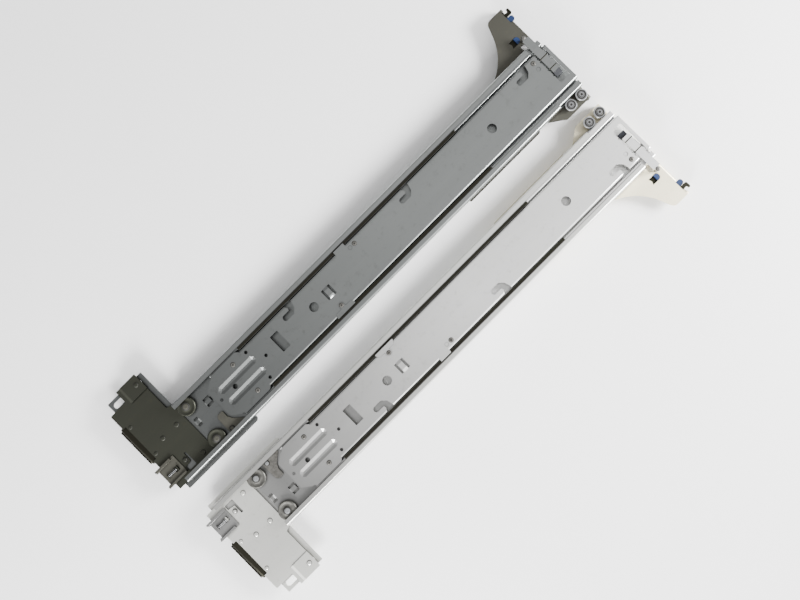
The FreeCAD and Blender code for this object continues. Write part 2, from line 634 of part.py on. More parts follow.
def rib_level(y, width, z):
    """One level of a rib: its outline, as wide as given, with its ends drawn in as much as its sides."""
    inset = (RIB_WIDTH - width) / 2
    x0 = RIB_X[0] + inset
    x1 = RIB_X[1] - inset
    half = width / 2
    nose = half * 0.6
    spots = [(x0, y - half + nose), (x0 + nose, y - half), (x1 - nose, y - half), (x1, y - half + nose),
             (x1, y + half - nose), (x1 - nose, y + half), (x0 + nose, y + half), (x0, y + half - nose)]
    points = [Vector(a, b, z) for a, b in spots]
    return Part.makePolygon(points + [points[0]])


def pressed_rib(y):
    """Rib pressed down into the web: the groove cut above and the swelling joined on below."""
    slope = (RIB_WIDTH - RIB_FLOOR) / RIB_DEPTH
    above = 0.3
    groove = [rib_level(y, RIB_FLOOR, Z_INNER_TOP - RIB_DEPTH),
              rib_level(y, RIB_WIDTH + slope * above, Z_INNER_TOP + above)]
    swelling = [rib_level(y, RIB_FLOOR, Z_INNER - RIB_DEPTH),
                rib_level(y, RIB_WIDTH + slope * above, Z_INNER + above)]
    return Part.makeLoft(groove, True, True), Part.makeLoft(swelling, True, True)


def lever_notch():
    """Opening for the latch lever: a pocket that runs out through the top edge."""
    x0, x1 = LEVER_NOTCH_X
    return block(x0, x1, LEVER_POCKET_Y, INNER_HALF + 5, Z_WALL_FOOT - 1, Z_INNER_TOP + 1)


def lever_ears():
    """Two ears bent down from the notch's sides, with the pivot pin's holes."""
    x0, x1 = LEVER_NOTCH_X
    ears = []
    for x in (x0 - CHANNEL_T, x1):
        ear = block(x, x + CHANNEL_T, LEVER_PIVOT_Y - 4, LEVER_PIVOT_Y + 4, Z_PIN - 3, Z_INNER)
        ears.append(ear.cut(rod_x(x - 1, x + 3, LEVER_PIVOT_Y, Z_PIN, LEVER_PIN_R + RIVET_GAP)))
    return ears


def inner_cuts():
    z0 = Z_INNER - 1
    z1 = Z_INNER_TOP + 1
    tools = [server_slot(x) for x in slot_places()]
    tools += [disc(x, y, z0, z1, ROUND_HOLE_R) for x, y in ROUND_HOLES]
    tools += [disc(x, y, z0, z1, SMALL_HOLE_R) for x, y in SMALL_HOLES]
    tools.append(disc(*STOP_HOLE, z0, z1, STOP_HOLE_R))
    wide, tall = WINDOW_SIZE
    tools.append(rounded_block(WINDOW_X - wide / 2, WINDOW_X + wide / 2, WINDOW_Y - tall / 2, WINDOW_Y + tall / 2,
                               z0, z1, 1))
    tools.append(lever_notch())
    tools += [peg(LEVER_NOTCH_X[0], y, z0, z1, RELIEF_R) for y in RELIEF_Y]
    tools += [peg(x, y, Z_INNER_TOP - DIMPLE_DEPTH, z1, DIMPLE_R) for x, y in DIMPLES]
    tools += [hole(x, y, z0, z1, INNER_SHANK_R) for x, y in INNER_RIVETS]
    return tools


def inner_bridge():
    """Square lanced bridge: two side slits with a raised strap between them."""
    wide, tall = LANCE_SIZE
    window = block(LANCE_X - wide / 2, LANCE_X + wide / 2, LANCE_Y - tall / 2, LANCE_Y + tall / 2,
                   Z_INNER - 1, Z_INNER_TOP + 1)
    low = LANCE_Y - tall / 2 - 0.5
    high = LANCE_Y + tall / 2 + 0.5
    rise = 1.6
    strap = section([(low, Z_INNER), (low, Z_INNER_TOP), (low + 4, Z_INNER_TOP + rise),
                     (high - 4, Z_INNER_TOP + rise), (high, Z_INNER_TOP), (high, Z_INNER),
                     (high - 4, Z_INNER + rise), (low + 4, Z_INNER + rise)],
                    LANCE_X - wide / 2 + 3.6, LANCE_X + wide / 2 - 3.6)
    return window, strap


def inner_member():
    front = section(inner_section(), INNER_WALL_REAR, INNER_FRONT)
    ribs = [pressed_rib(y) for y in (-RIB_Y, RIB_Y)]
    body = join([front, inner_tail(), block(-10.0, 8.0, INNER_HALF - 3, INNER_HALF + 3.8, Z_INNER, Z_INNER_TOP)]
                + [swelling for groove, swelling in ribs])
    window, strap = inner_bridge()
    tools = inner_cuts() + [window] + groove_tools(INNER_WALL_REAR - 1, INNER_FRONT + 1)
    tools += [groove for groove, swelling in ribs]
    return join([cut(body, tools), strap] + lever_ears())


def inner_rivets():
    shapes = []
    for x, y in INNER_RIVETS:
        seat = Z_INNER_TOP + (CLIP_T if (x, y) == CLIP_RIVET else 0)
        z_levels = (Z_INNER - 0.6, Z_INNER, seat, seat + INNER_RIVET_HEAD)
        shapes.append(rivet(x, y, z_levels, INNER_SHANK_R, INNER_RIVET_R, INNER_SHANK_R + 1))
    return shapes


def edge_clip():
    """Spring clip riveted on the lower edge, with two slanted fingers."""
    x, y = CLIP_RIVET
    z0 = Z_INNER_TOP
    body = plate([(x - 13.5, y - 4, 1), (x + 13.5, y - 4, 1), (x + 16.7, y - 10.6, 1), (x - 16.7, y - 10.6, 1)],
                 z0, z0 + CLIP_T)
    eye = peg(x, y, z0, z0 + CLIP_T, INNER_RIVET_R + 1.0)
    neck = block(x - 4, x + 4, y - 5, y, z0, z0 + CLIP_T)
    return join([body, eye, neck]).cut(hole(x, y, z0 - 1, z0 + 2, INNER_SHANK_R))


# ---- ball retainers -------------------------------------------------------------------------------
def ball_places():
    margin = 8.0
    step = (RETAINER_FRONT - RETAINER_REAR - 2 * margin) / (BALLS_PER_STRIP - 1)
    return [RETAINER_REAR + margin + step * n for n in range(BALLS_PER_STRIP)]


def ball_retainers():
    """Two angle strips that space the balls; their lips ride over the middle member's lips."""
    low = Z_WALL_FOOT + 0.5
    high = Z_INNER - SLIDE_GAP
    lip = high - 0.55
    strips = []
    y0 = BALL_Y - RETAINER_T / 2
    y1 = BALL_Y + RETAINER_T / 2
    for side in (-1, 1):
        points = [(y0, low), (y1, low), (y1, lip), (y0 + RETAINER_LIP, lip), (y0 + RETAINER_LIP, high), (y0, high)]
        strip = section([(side * y, z) for y, z in points], RETAINER_REAR, RETAINER_FRONT)
        edge = sorted((side * (BALL_Y - 2), side * (BALL_Y + 2)))
        reach = BALL_R + RIVET_GAP
        pockets = [block(x - reach, x + reach, edge[0], edge[1], low - 1, BALL_Z + reach) for x in ball_places()]
        strips.append(cut(strip, pockets))
    return strips


def race_balls():
    return [bead(x, side * BALL_Y, BALL_Z) for side in (-1, 1) for x in ball_places()]


def bead(x, y, z):
    """Ball drawn with few faces: what three crossed prisms share."""
    radius = BALL_R / math.cos(math.pi / BEAD_SIDES)
    upright = peg(0, 0, -BALL_R, BALL_R, radius, BEAD_SIDES)
    across = upright.copy()
    across.rotate(Vector(0, 0, 0), Vector(1, 0, 0), 90)
    along = upright.copy()
    along.rotate(Vector(0, 0, 0), Vector(0, 1, 0), 90)
    ball = upright.common(across).common(along)
    ball.translate(Vector(x, y, z))
    return ball


# ---- front latch lever ----------------------------------------------------------------------------
def latch_lever():
    x0, x1 = LEVER_X
    top = Z_LEVER + LEVER_T
    arm = block(x0, x1, LEVER_PAD_Y, LEVER_TIP_Y, Z_LEVER, top)
    lip = block(x0, x1, LEVER_PAD_Y, LEVER_PAD_Y + LEVER_T, Z_PIN - 2.2, top)
    hub = rod_x(x0 + 0.5, x1 - 0.5, LEVER_PIVOT_Y, Z_PIN, LEVER_PIN_R + 1.2)
    saddle = block(x0 + 0.5, x1 - 0.5, LEVER_PIVOT_Y - 2.4, LEVER_PIVOT_Y + 2.4, Z_PIN, Z_LEVER + 0.5)
    eye = peg(*LOCK_PIN, Z_LEVER, top, 3.4)
    neck = block(LOCK_PIN[0] - 3.4, LOCK_PIN[0] + 3.4, LEVER_TIP_Y - 1, LOCK_PIN[1], Z_LEVER, top)
    bore = rod_x(x0 - 1, x1 + 1, LEVER_PIVOT_Y, Z_PIN, LEVER_PIN_R + RIVET_GAP)
    pin_hole = hole(*LOCK_PIN, Z_LEVER - 1, top + 1, LOCK_PIN_R - 0.5)
    return cut(join([arm, lip, hub, saddle, eye, neck]), [bore, pin_hole])


def lever_pad():
    """Moulded finger pad behind the lever's turned-down lip."""
    x0, x1 = LEVER_X
    low = Z_PIN - 2.6
    points = [(LEVER_PAD_Y, low), (LEVER_PAD_Y, low + 4.4), (LEVER_PAD_Y - 7.7, low + 3.2, 1.2),
              (LEVER_PAD_Y - 7.7, low, 1.2)]
    return section(points, x0 + 0.3, x1 - 0.3)


def lock_pin():
    """Pin riveted in the lever's tip; it stands just above the wing."""
    shank = LOCK_PIN_R - 0.5
    top = Z_LEVER + LEVER_T
    foot = Z_OUTER + 0.5
    z_levels = (Z_LEVER, Z_LEVER, top, top + 1.0)
    return join([peg(*LOCK_PIN, foot, Z_LEVER, LOCK_PIN_R), rivet(*LOCK_PIN, z_levels, shank, 3.0, 0)])


def lever_pivot():
    x0, x1 = LEVER_NOTCH_X
    return rod_x(x0 - CHANNEL_T - 0.6, x1 + CHANNEL_T + 0.6, LEVER_PIVOT_Y, Z_PIN, LEVER_PIN_R)


def lever_spring():
    """Torsion spring on the pivot pin beside the lever, with one leg each way along the notch."""
    x_mid = LEVER_X[1] + LEVER_SPRING_SPACE / 2
    inside = LEVER_PIN_R + 0.35
    outside = inside + 2 * WIRE_R
    start = Vector(x_mid - 1.2, LEVER_PIVOT_Y, Z_PIN)
    turns = Part.makeCylinder(outside, 2.4, start, Vector(1, 0, 0))
    turns = turns.cut(Part.makeCylinder(inside, 4, start - Vector(1, 0, 0), Vector(1, 0, 0)))
    z1 = Z_PIN + outside - 0.1
    z0 = z1 - 1.6 * WIRE_R
    low = block(x_mid - 1.1, x_mid - 0.3, LEVER_PIVOT_Y - 13.0, LEVER_PIVOT_Y, z0, z1)
    high = block(x_mid + 0.3, x_mid + 1.1, LEVER_PIVOT_Y, LEVER_PIVOT_Y + 9.0, z0, z1)
    return join([turns, low, high])


# ---- front release latch --------------------------------------------------------------------------
def release_slide():
    """Hooked steel slide under the wing."""
    low, high = HOOK_Y
    shelf = low + HOOK_SHELF
    x0, x1 = SLIDE_X
    y0, y1 = SLIDE_Y
    points = [(x0, y0, 2), (x1, y0, 2), (x1, low, 1), (HOOK_TIP, low, 2.5), (HOOK_TIP, high, 1.6),
              (HOOK_TIP - 3.9, high, 1.2), (HOOK_TIP - 3.9, shelf, 1), (x0 + SLIDE_BAR, shelf, 2),
              (x0 + SLIDE_BAR, y1, 2), (x0, y1, 2)]
    gap = RIVET_GAP * 2
    seat = block(TAB_X[0] - gap, TAB_X[1] + gap, TAB_Y[0] - gap, TAB_Y[1] + gap, Z_RELEASE - 1, Z_PLATE)
    return plate(points, Z_RELEASE, Z_RELEASE + RELEASE_T).cut(seat)


def release_tab():
    """Coloured moulding: thumb tab in the wing's window and tongue in front of the flange."""
    low, high = TONGUE_Y
    x0 = SLIDE_X[0] + SLIDE_BAR
    x1 = SLIDE_X[1] - 3.0
    points = [(x0, TAB_Y[0], 1), (x1, TAB_Y[0], 2), (x1, low, 2), (TONGUE_TIP, low, 3.6),
              (TONGUE_TIP, high, 3.6), (x0 + 3.0, high, 2), (x0 + 3.0, TAB_Y[1] + 3.6, 2), (x0, TAB_Y[1] + 1.6, 1)]
    body = plate(points, Z_PAD, Z_RELEASE)
    post = plate([(TAB_X[0], TAB_Y[0]), (TAB_X[1], TAB_Y[0], 4.2), (TAB_X[1], TAB_Y[1], 4.2), (TAB_X[0], TAB_Y[1])],
                 Z_PAD, Z_OUTER + TAB_RISE)
    return join([body, post])


def release_spring():
    x0 = SPRING_STOP + WIRE_R + SLIDE_GAP
    x1 = SLIDE_X[0] - WIRE_R - SLIDE_GAP
    start = Vector(x0, SLIDE_Y[0] + 10.5, Z_RELEASE + RELEASE_T / 2 - 2.0)
    return coil(start, Vector(1, 0, 0), x1 - x0, 3, SPRING_R - WIRE_R, WIRE_R)


# ---- rear base plate, sliding bracket and mounting angle ------------------------------------------
def rear_base_plate():
    low = -OUTER_HALF - BASE_LEDGE
    body = plate([(ARM_REAR, ARM_Y[0]), (ARM_REAR, ARM_Y[1], 1), (ARM_FRONT, ARM_Y[1], 1),
                  (ARM_FRONT, OUTER_HALF - 2),
                  (BASE_FRONT, OUTER_HALF - 2, 2), (BASE_FRONT, low, 5), (BASE_REAR, low, 1.5),
                  (BASE_REAR, ARM_Y[0])], Z_PLATE, Z_OUTER)
    x, y = GUIDE_TOP
    tools = guide_slots(Z_PLATE - 1, Z_OUTER + 1)
    tools.append(slot(x - REAR_TRAVEL - 2.0, x + 3.6, y, TOP_GUIDE_R + SLIDE_GAP, Z_PLATE - 1, Z_OUTER + 1))
    tools += [hole(a, b, Z_PLATE - 1, Z_OUTER + 1, CHANNEL_RIVET_R) for a, b in channel_rivet_places()[4:]]
    return cut(body, tools)


def rear_bracket():
    low = -(OUTER_HALF - CHANNEL_BEND)
    high = OUTER_HALF + 1
    body = plate([(PLATE_REAR, low, 1), (PLATE_FRONT, low), (PLATE_FRONT, high, 2), (PLATE_SHOULDER_X, high + 3, 2),
                  (PLATE_SHOULDER_X, TAB_LOW - 0.5, 1), (TAB_JOG[0] - 1, TAB_LOW - 0.5), (TAB_JOG[0] - 1, PLATE_TOP),
                  (PLATE_REAR, PLATE_TOP, 2)], Z_REAR, Z_REAR_TOP)
    rise = BRACKET_T
    x0, x1 = TAB_JOG
    tab = folded([(x0 - 5, Z_REAR), (x0, Z_REAR), (x1, Z_REAR + rise), (PLATE_SHOULDER_X + 0.8, Z_REAR + rise),
                  (PLATE_SHOULDER_X + 0.8, Z_REAR_TOP + rise), (x1, Z_REAR_TOP + rise), (x0, Z_REAR_TOP),
                  (x0 - 5, Z_REAR_TOP)], TAB_LOW, TAB_TOP)
    post = block(LATCH_SPRING_X[1] + WIRE_R + SLIDE_GAP, LATCH_SPRING_X[1] + WIRE_R + SLIDE_GAP + 1.5,
                 LATCH_SPRING_Y - 3, LATCH_SPRING_Y + 3, Z_REAR_TOP - 0.5, Z_LATCH + LATCH_WALL)
    return cut(join([body, tab, post]), rear_bracket_cuts())


def rear_bracket_cuts():
    z0 = Z_REAR - 1
    z1 = Z_REAR_TOP + 3
    x, y = LATCH_SCREW
    tools = [block(PLATE_REAR - 1, PLATE_REAR + 5, MOUNT_Y[0], MOUNT_Y[1], z0, Z_REAR_TOP + 1)]
    tools.append(plate([(x - 6.0, y - 14.5, 1.5), (x + 8.0, y - 14.5, 1.5), (x + 8.0, y + 8.0, 1.2),
                        (x + 4.6, y + 8.0, 1.2), (x + 4.6, y - 6.0, 1), (x - 6.0, y - 7.5, 1)],
                       z0, Z_REAR_TOP + 1))
    tools += [hole(a, b, z0, z1, GUIDE_NECK_R) for a, b in GUIDES + (GLIDE, GUIDE_TOP)]
    tools.append(hole(x, y, z0, z1, SMALL_SHANK_R))
    tools += [hole(a, b, z0, z1, SMALL_SHANK_R) for a, b in angle_rivet_places()]
    return tools


def angle_rivet_places():
    x = PLATE_REAR + 9.5
    return [(x, MOUNT_Y[0] + 5), (x, MOUNT_Y[1] - 5)]


def rear_mount_angle():
    """Angle under the bracket's rear edge with a tapped block on its outer face."""
    face = MOUNT_FACE + MOUNT_BLOCK_T
    high = Z_REAR
    low = Z_REAR - CHANNEL_T
    y0, y1 = MOUNT_Y
    leg = folded([(face, 0), (face + BRACKET_T, 0), (face + BRACKET_T, low, 0.5), (PLATE_REAR + 14.5, low),
                  (PLATE_REAR + 14.5, high), (face, high, 2.4)], y0 - 2, y1 + 2)
    tapped = rounded_tapped_block(face)
    tools = [rod_x(MOUNT_FACE - 1, face + 4, y, BOLT_Z, REAR_BOLT_R) for y in rear_bolt_places()]
    tools += [hole(x, y, low - 1, high + 1, SMALL_SHANK_R) for x, y in angle_rivet_places()]
    return cut(join([leg, tapped]), tools)


def rounded_tapped_block(face):
    y0, y1 = MOUNT_Y
    return outline([(y0, 2, 2), (y1, 2, 2), (y1, Z_PLATE, 2), (y0, Z_PLATE, 2)],
                   lambda y, z: Vector(MOUNT_FACE, y, z)).extrude(Vector(face - MOUNT_FACE, 0, 0))


def rear_bolt_places():
    middle = (MOUNT_Y[0] + MOUNT_Y[1]) / 2
    return [middle + n * REAR_BOLT_SPACING for n in (-1, 0, 1)]


def rear_fasteners():
    """Guide rivets in their slots, the angle's flush rivets and the latch's shoulder screw."""
    foot = Z_PLATE - SLIDE_GAP
    shapes = []
    for x, y in GUIDES:
        shapes.append(guide_rivet(x, y, foot, GUIDE_R, Z_REAR, Z_REAR_TOP))
    shapes.append(rivet(*GLIDE, (Z_REAR, Z_REAR, Z_REAR_TOP, Z_REAR_TOP + 1.2), GUIDE_NECK_R, GUIDE_HEAD_R, 0))
    shapes.append(guide_rivet(*GUIDE_TOP, foot, TOP_GUIDE_R, Z_REAR + BRACKET_T, Z_REAR_TOP + BRACKET_T))
    top = Z_REAR_TOP
    for x, y in angle_rivet_places():
        shapes.append(rivet(x, y, (Z_REAR - CHANNEL_T, Z_REAR - CHANNEL_T, top, top + 0.9), SMALL_SHANK_R, 2.8, 0))
    shapes.append(rivet(*LATCH_SCREW, (Z_REAR, Z_REAR, top, top + 3.0), SMALL_SHANK_R, 3.4, 0))
    return shapes


def guide_rivet(x, y, foot, shoulder_r, z_low, z_high):
    """Head below the slot, shoulder in the slot, neck through the bracket and a closed top head."""
    return join([peg(x, y, foot - 1.2, foot, shoulder_r + 1.8), peg(x, y, foot, z_low, shoulder_r),
                 peg(x, y, z_low, z_high, GUIDE_NECK_R, SHANK_SIDES), peg(x, y, z_high, z_high + 1.2, GUIDE_HEAD_R)])


# ---- rear latch -----------------------------------------------------------------------------------
def rear_latch():
    """U-shaped sprung latch on the rear bracket, with two hooked side walls."""
    y0, y1 = LATCH_Y
    t = LATCH_T
    z0 = Z_LATCH
    high = z0 + LATCH_WALL
    walls = section([(y0, high), (y0, z0, 1.8), (y1, z0, 1.8), (y1, high), (y1 - 3.0, high), (y1 - 3.0, z0 + t, 0.5),
                     (y0 + 3.0, z0 + t, 0.5), (y0 + 3.0, high)], LATCH_REAR, LATCH_FRONT)
    lug = block(LATCH_SPRING_X[0] - WIRE_R - SLIDE_GAP - 1.5, LATCH_SPRING_X[0] - WIRE_R - SLIDE_GAP,
                LATCH_SPRING_Y - 3, LATCH_SPRING_Y + 3, z0 + t - 0.5, high)
    post_x = LATCH_SPRING_X[1] + WIRE_R + SLIDE_GAP
    tools = [block(post_x - LATCH_TRAVEL - 0.8, post_x + 2.2, LATCH_SPRING_Y - 3.6, LATCH_SPRING_Y + 3.6,
                   z0 - 1, high + 1),
             block(LATCH_REAR - 1, LATCH_REAR + 3.6, y0 + 4.4, y1 - 4.4, z0 - 1, high + 1),
             block(LATCH_FRONT - 5.5, LATCH_FRONT + 1, y1 - 3.2, y1 + 1, z0 + t, high + 1)]
    return join([cut(walls, tools), lug])


def rear_latch_spring():
    x0, x1 = LATCH_SPRING_X
    z = Z_LATCH + LATCH_T + SPRING_R + 0.3
    return coil(Vector(x0, LATCH_SPRING_Y, z), Vector(1, 0, 0), x1 - x0, 6, SPRING_R - WIRE_R, WIRE_R)


# ---- the pair -------------------------------------------------------------------------------------
def as_list(made):
    return made if isinstance(made, list) else [made]


def placed(made, side):
    """Solids of one piece on the right rail, or their mirror images on the left rail."""
    solids = []
    for shape in as_list(made):
        shape = shape.copy()
        shape.translate(Vector(0, RAIL_OFFSET, 0))
        if side == "left":
            shape = shape.mirror(Vector(0, 0, 0), Vector(0, 1, 0))
        solids += shape.Solids
    return solids


OWN_PIECES = {
    "outer_channel": outer_channel, "front_bracket": front_bracket, "rear_base_plate": rear_base_plate,
    "middle_member": middle_member, "middle_pins": middle_pins,
    "rear_roller_upper": lambda: rear_roller(1), "rear_roller_lower": lambda: rear_roller(-1),
    "detent_pawl": detent_pawl, "inner_member": inner_member, "inner_rivets": inner_rivets,
    "edge_clip": edge_clip, "ball_retainers": ball_retainers, "race_balls": race_balls,
    "latch_lever": latch_lever, "lever_pad": lever_pad, "lock_pin": lock_pin, "lever_pivot": lever_pivot,
    "lever_spring": lever_spring, "release_slide": release_slide, "release_tab": release_tab,
    "release_spring": release_spring, "bearing_ring_rear": lambda: bearing_cup(BEARING_X[0]),
    "bearing_ring_front": lambda: bearing_cup(BEARING_X[1]), "rear_bracket": rear_bracket,
    "rear_mount_angle": rear_mount_angle, "rear_fasteners": rear_fasteners, "rear_latch": rear_latch,
    "rear_latch_spring": rear_latch_spring,
}
SHARED_PIECES = {"channel_rivets": channel_rivets, "bearing_studs": bearing_studs}


def main():
    os.makedirs("parts", exist_ok=True)
    for name, make in OWN_PIECES.items():
        made = make()
        for side in ("right", "left"):
            export(f"{side}_{name}", placed(made, side))
    for name, make in SHARED_PIECES.items():
        made = make()
        export(name, placed(made, "right") + placed(made, "left"))


def export(name, solids):
    shape = solids[0] if len(solids) == 1 else Part.makeCompound(solids)
    shape.exportStep(f"parts/{name}.step")


main()
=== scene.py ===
"""A pair of sliding server rails: finishes, round fasteners, bearings, rollers and springs."""
import json
import math
import bpy
from mathutils import Matrix, Vector

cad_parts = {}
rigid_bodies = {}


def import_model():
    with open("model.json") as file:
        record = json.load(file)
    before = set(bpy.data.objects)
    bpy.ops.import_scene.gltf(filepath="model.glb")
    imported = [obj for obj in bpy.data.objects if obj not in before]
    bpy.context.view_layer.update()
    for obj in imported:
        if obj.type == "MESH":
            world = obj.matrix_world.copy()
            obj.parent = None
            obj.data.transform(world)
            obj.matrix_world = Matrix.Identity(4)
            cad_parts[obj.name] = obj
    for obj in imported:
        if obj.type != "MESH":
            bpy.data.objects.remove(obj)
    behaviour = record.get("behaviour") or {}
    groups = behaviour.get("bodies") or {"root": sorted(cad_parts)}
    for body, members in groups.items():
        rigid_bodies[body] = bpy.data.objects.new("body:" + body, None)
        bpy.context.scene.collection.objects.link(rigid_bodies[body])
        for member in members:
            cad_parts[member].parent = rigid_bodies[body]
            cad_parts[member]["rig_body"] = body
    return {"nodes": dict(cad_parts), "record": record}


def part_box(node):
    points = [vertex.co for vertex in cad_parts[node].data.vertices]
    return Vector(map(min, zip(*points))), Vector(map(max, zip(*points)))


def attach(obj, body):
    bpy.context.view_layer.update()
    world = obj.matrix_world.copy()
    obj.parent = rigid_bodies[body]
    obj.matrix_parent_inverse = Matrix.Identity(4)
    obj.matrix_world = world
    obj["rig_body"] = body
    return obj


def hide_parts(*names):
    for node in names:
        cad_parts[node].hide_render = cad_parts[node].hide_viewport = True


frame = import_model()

bl_info = {
    "name": "Sliding server rails",
    "version": (1, 0, 0),
    "blender": (4, 5, 0),
    "location": "3D View > Sidebar > Rails",
    "description": "Dresses a pair of three-member sliding server rails",
    "category": "Object",
}

MM = 0.001
SIDES = ("right", "left")
WELD = 0.004 * MM            # corners of a CAD mesh nearer than this are one
DOUBLES = 0.002 * MM         # points of a new mesh nearer than this are one
SHARP = math.radians(38)     # edges that turn more than this are broken
SMOOTH = math.radians(32)    # faces that meet at less than this are shaded as one
Z_TO_X = Matrix(((0, 0, 1), (0, 1, 0), (-1, 0, 0))).to_4x4()    # lays what stands up z along x
SAME_RADIUS = 0.03 * MM      # radii nearer than this are one
LEVEL = 0.96                 # a face whose normal looks up more than this is level
BLACK = (0.0, 0.0, 0.0)
WHITE = (1.0, 1.0, 1.0)
# near-black colour of the painted shade that the ambient occlusion puts in crevices and under parts
CREVICE_SHADE_COLOUR = (0.012, 0.011, 0.009)
FAINT = 0.22                 # the most that a stain or a rolling line covers
REAR_SHADE_FULL, REAR_SHADE_START = -0.28, 0.08    # metres along the rail, where the painted shade towards the rear is full and where it starts
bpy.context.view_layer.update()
SLOT_OF = {part["node"]: part["material_slot"] for part in frame["record"]["subparts"]}


def linear(code):
    """Linear colour from a hex sRGB value."""
    parts = [int(code[n:n + 2], 16) / 255 for n in (0, 2, 4)]
    return tuple(c / 12.92 if c <= 0.04045 else ((c + 0.055) / 1.055) ** 2.4 for c in parts)


def colour_prop(name, description, code):
    return bpy.props.FloatVectorProperty(name=name, description=description, default=linear(code),
                                         subtype="COLOR", size=3, min=0.0, max=1.0)


def length_prop(name, description, millimetres):
    return bpy.props.FloatProperty(name=name, description=description, default=millimetres * MM,
                                   unit="LENGTH", precision=5, min=0.0)


# ---- sizes and colours that a user would change ---------------------------------------------------
class RailSizes(bpy.types.PropertyGroup):
    edge_break: length_prop("Edge break", "Width of the dull edge on sheared sheet", 0.55)
    moulded_edge: length_prop("Moulded edge", "Width of the rounding on the mouldings' edges", 0.5)
    rivet_dimple: length_prop("Rivet dimple", "Radius of the hollow in a rivet's head", 1.1)
    roller_chamfer: length_prop("Roller chamfer", "Chamfer on the rear rollers' rims", 0.9)
    roller_bore: length_prop("Roller bore", "Radius of the rear rollers' bore", 3.05)
    shield_recess: length_prop("Shield recess", "How deep a bearing's shield lies in its ring", 0.5)
    ring_wall: length_prop("Ring wall", "Thickness of a bearing's outer ring", 1.7)
    shield_bore: length_prop("Shield bore", "Radius of the hole in a bearing's shield", 4.6)
    strap_radius: length_prop("Strap radius", "Half the width of the straps across the levers", 0.8)
    wire_radius: length_prop("Wire radius", "Radius of the springs' wire", 0.45)


class RailColours(bpy.types.PropertyGroup):
    # The right- and left-hand colours are a shaded and a lit copy of one finish: the right-hand ones are
    # painted shade, the left-hand ones painted light. The right rear bracket's dark olive is painted shade
    # too.
    zinc_right: colour_prop("Right members", "Zinc plate on the right-hand members and base plate", "a0a3a2")
    zinc_left: colour_prop("Left members", "Zinc plate on the left-hand rail", "fafaf8")
    chromate_right: colour_prop("Right front bracket", "Yellow-tinged zinc plate, also on the latch and pawl",
                                "5c5b54")
    chromate_left: colour_prop("Left front bracket", "Zinc plate with a yellow tinge", "efe6ca")
    bracket_right: colour_prop("Right rear bracket", "Dulled zinc plate, also on the rollers", "42433c")
    bracket_left: colour_prop("Left rear bracket", "Satin zinc plate", "f0f0ea")
    white_steel: colour_prop("Levers and latches", "Bright zinc plate", "bdbdb7")
    dark_steel: colour_prop("Hooks and ball cages", "Oiled dark steel", "32312a")
    rivet_steel: colour_prop("Rivets", "Warm grey rivet steel", "85837e")
    roller_steel: colour_prop("Rollers", "Sintered steel", "6e6d69")
    bearing_steel: colour_prop("Bearings", "Ground bearing steel", "d4d6d8")
    spring_steel: colour_prop("Springs", "Bright drawn wire", "cfd0d2")
    blue_plastic: colour_prop("Release parts", "Moulded blue", "0d264e")
    black_plastic: colour_prop("Lever pads", "Moulded blue-black", "15171d")
    channel_right: colour_prop("Right channel", "Zinc plate on the right-hand channel", "a5a8a7")
    channel_left: colour_prop("Left channel", "Zinc plate on the left-hand channel", "f0f0ec")
    # the sheared edges' near-black colours paint dark outlines along every broken edge: painted shade
    edge_right: colour_prop("Right edges", "Sheared edges of the right-hand rail", "1c1b18")
    edge_left: colour_prop("Left edges", "Sheared edges of the left-hand rail", "3a3935")
    # near-black colour for painted shade in recesses, round heads and on bearing shields
    grime: colour_prop("Grime", "Oily dirt in recesses", "1e1d1a")


class StudioSettings(bpy.types.PropertyGroup):
    lens: bpy.props.FloatProperty(name="Lens", description="Focal length on a 36 mm sensor",
                                  default=51.56, min=10.0)
    key_power: bpy.props.FloatProperty(name="Front light", description="Power of the lamp at the front ends",
                                       default=60.0, unit="POWER", min=0.0)
    fill_power: bpy.props.FloatProperty(name="Rear light", description="Power of the lamp at the rear ends",
                                        default=45.0, unit="POWER", min=0.0)
    sky: bpy.props.FloatProperty(name="Surround", description="Brightness of the white light tent",
                                 default=3.4, min=0.0)


# ---- material nodes -------------------------------------------------------------------------------
def add(tree, kind, inputs=(), stops=(), **settings):
    """A node with its settings and links. An input is a value or another node's output, by the socket's name
    or number. Stops are a colour ramp's positions and linear colours."""
    node = tree.nodes.new(kind)
    for key, value in settings.items():
        setattr(node, key, value)
    for key, value in dict(inputs).items():
        socket = node.inputs[key]
        if isinstance(value, bpy.types.NodeSocket):
            tree.links.new(value, socket)
        else:
            socket.default_value = (*value, 1.0) if socket.type == "RGBA" else value
    for number, (position, colour) in enumerate(stops):
        points = node.color_ramp.elements
        point = points[number] if number < 2 else points.new(position)
        point.position = position
        point.color = (*colour, 1.0)
    return node


def per_mm(size):
    """Scale of a noise whose main features are so many millimetres wide."""
    return 1 / (size * MM)


def shade(colour, factor):
    return tuple(min(c * factor, 1.0) for c in colour)


def fresh_material(name):
    """A new material with no nodes but the object's own coordinates, in metres."""
    material = bpy.data.materials.new(name)
    material.use_nodes = True
    tree = material.node_tree
    tree.nodes.clear()
    return material, tree, add(tree, "ShaderNodeTexCoord").outputs["Object"]


def with_crevice_shade(tree, colour, reach_mm=6.0, shade_strength=0.92):
    """The colour darkened towards near black where the surface lies close under or beside another: painted
    shade in crevices and under parts.
    """
    open_sky = add(tree, "ShaderNodeAmbientOcclusion", {"Distance": reach_mm * MM}, samples=8).outputs["AO"]
    crevice_shade = add(tree, "ShaderNodeMapRange", {"Value": open_sky, "From Min": 0.26, "From Max": 0.84,
                                            "To Min": shade_strength, "To Max": 0.0}).outputs["Result"]
    return add(tree, "ShaderNodeMix", {0: crevice_shade, 6: colour, 7: CREVICE_SHADE_COLOUR}, data_type="RGBA").outputs[2]


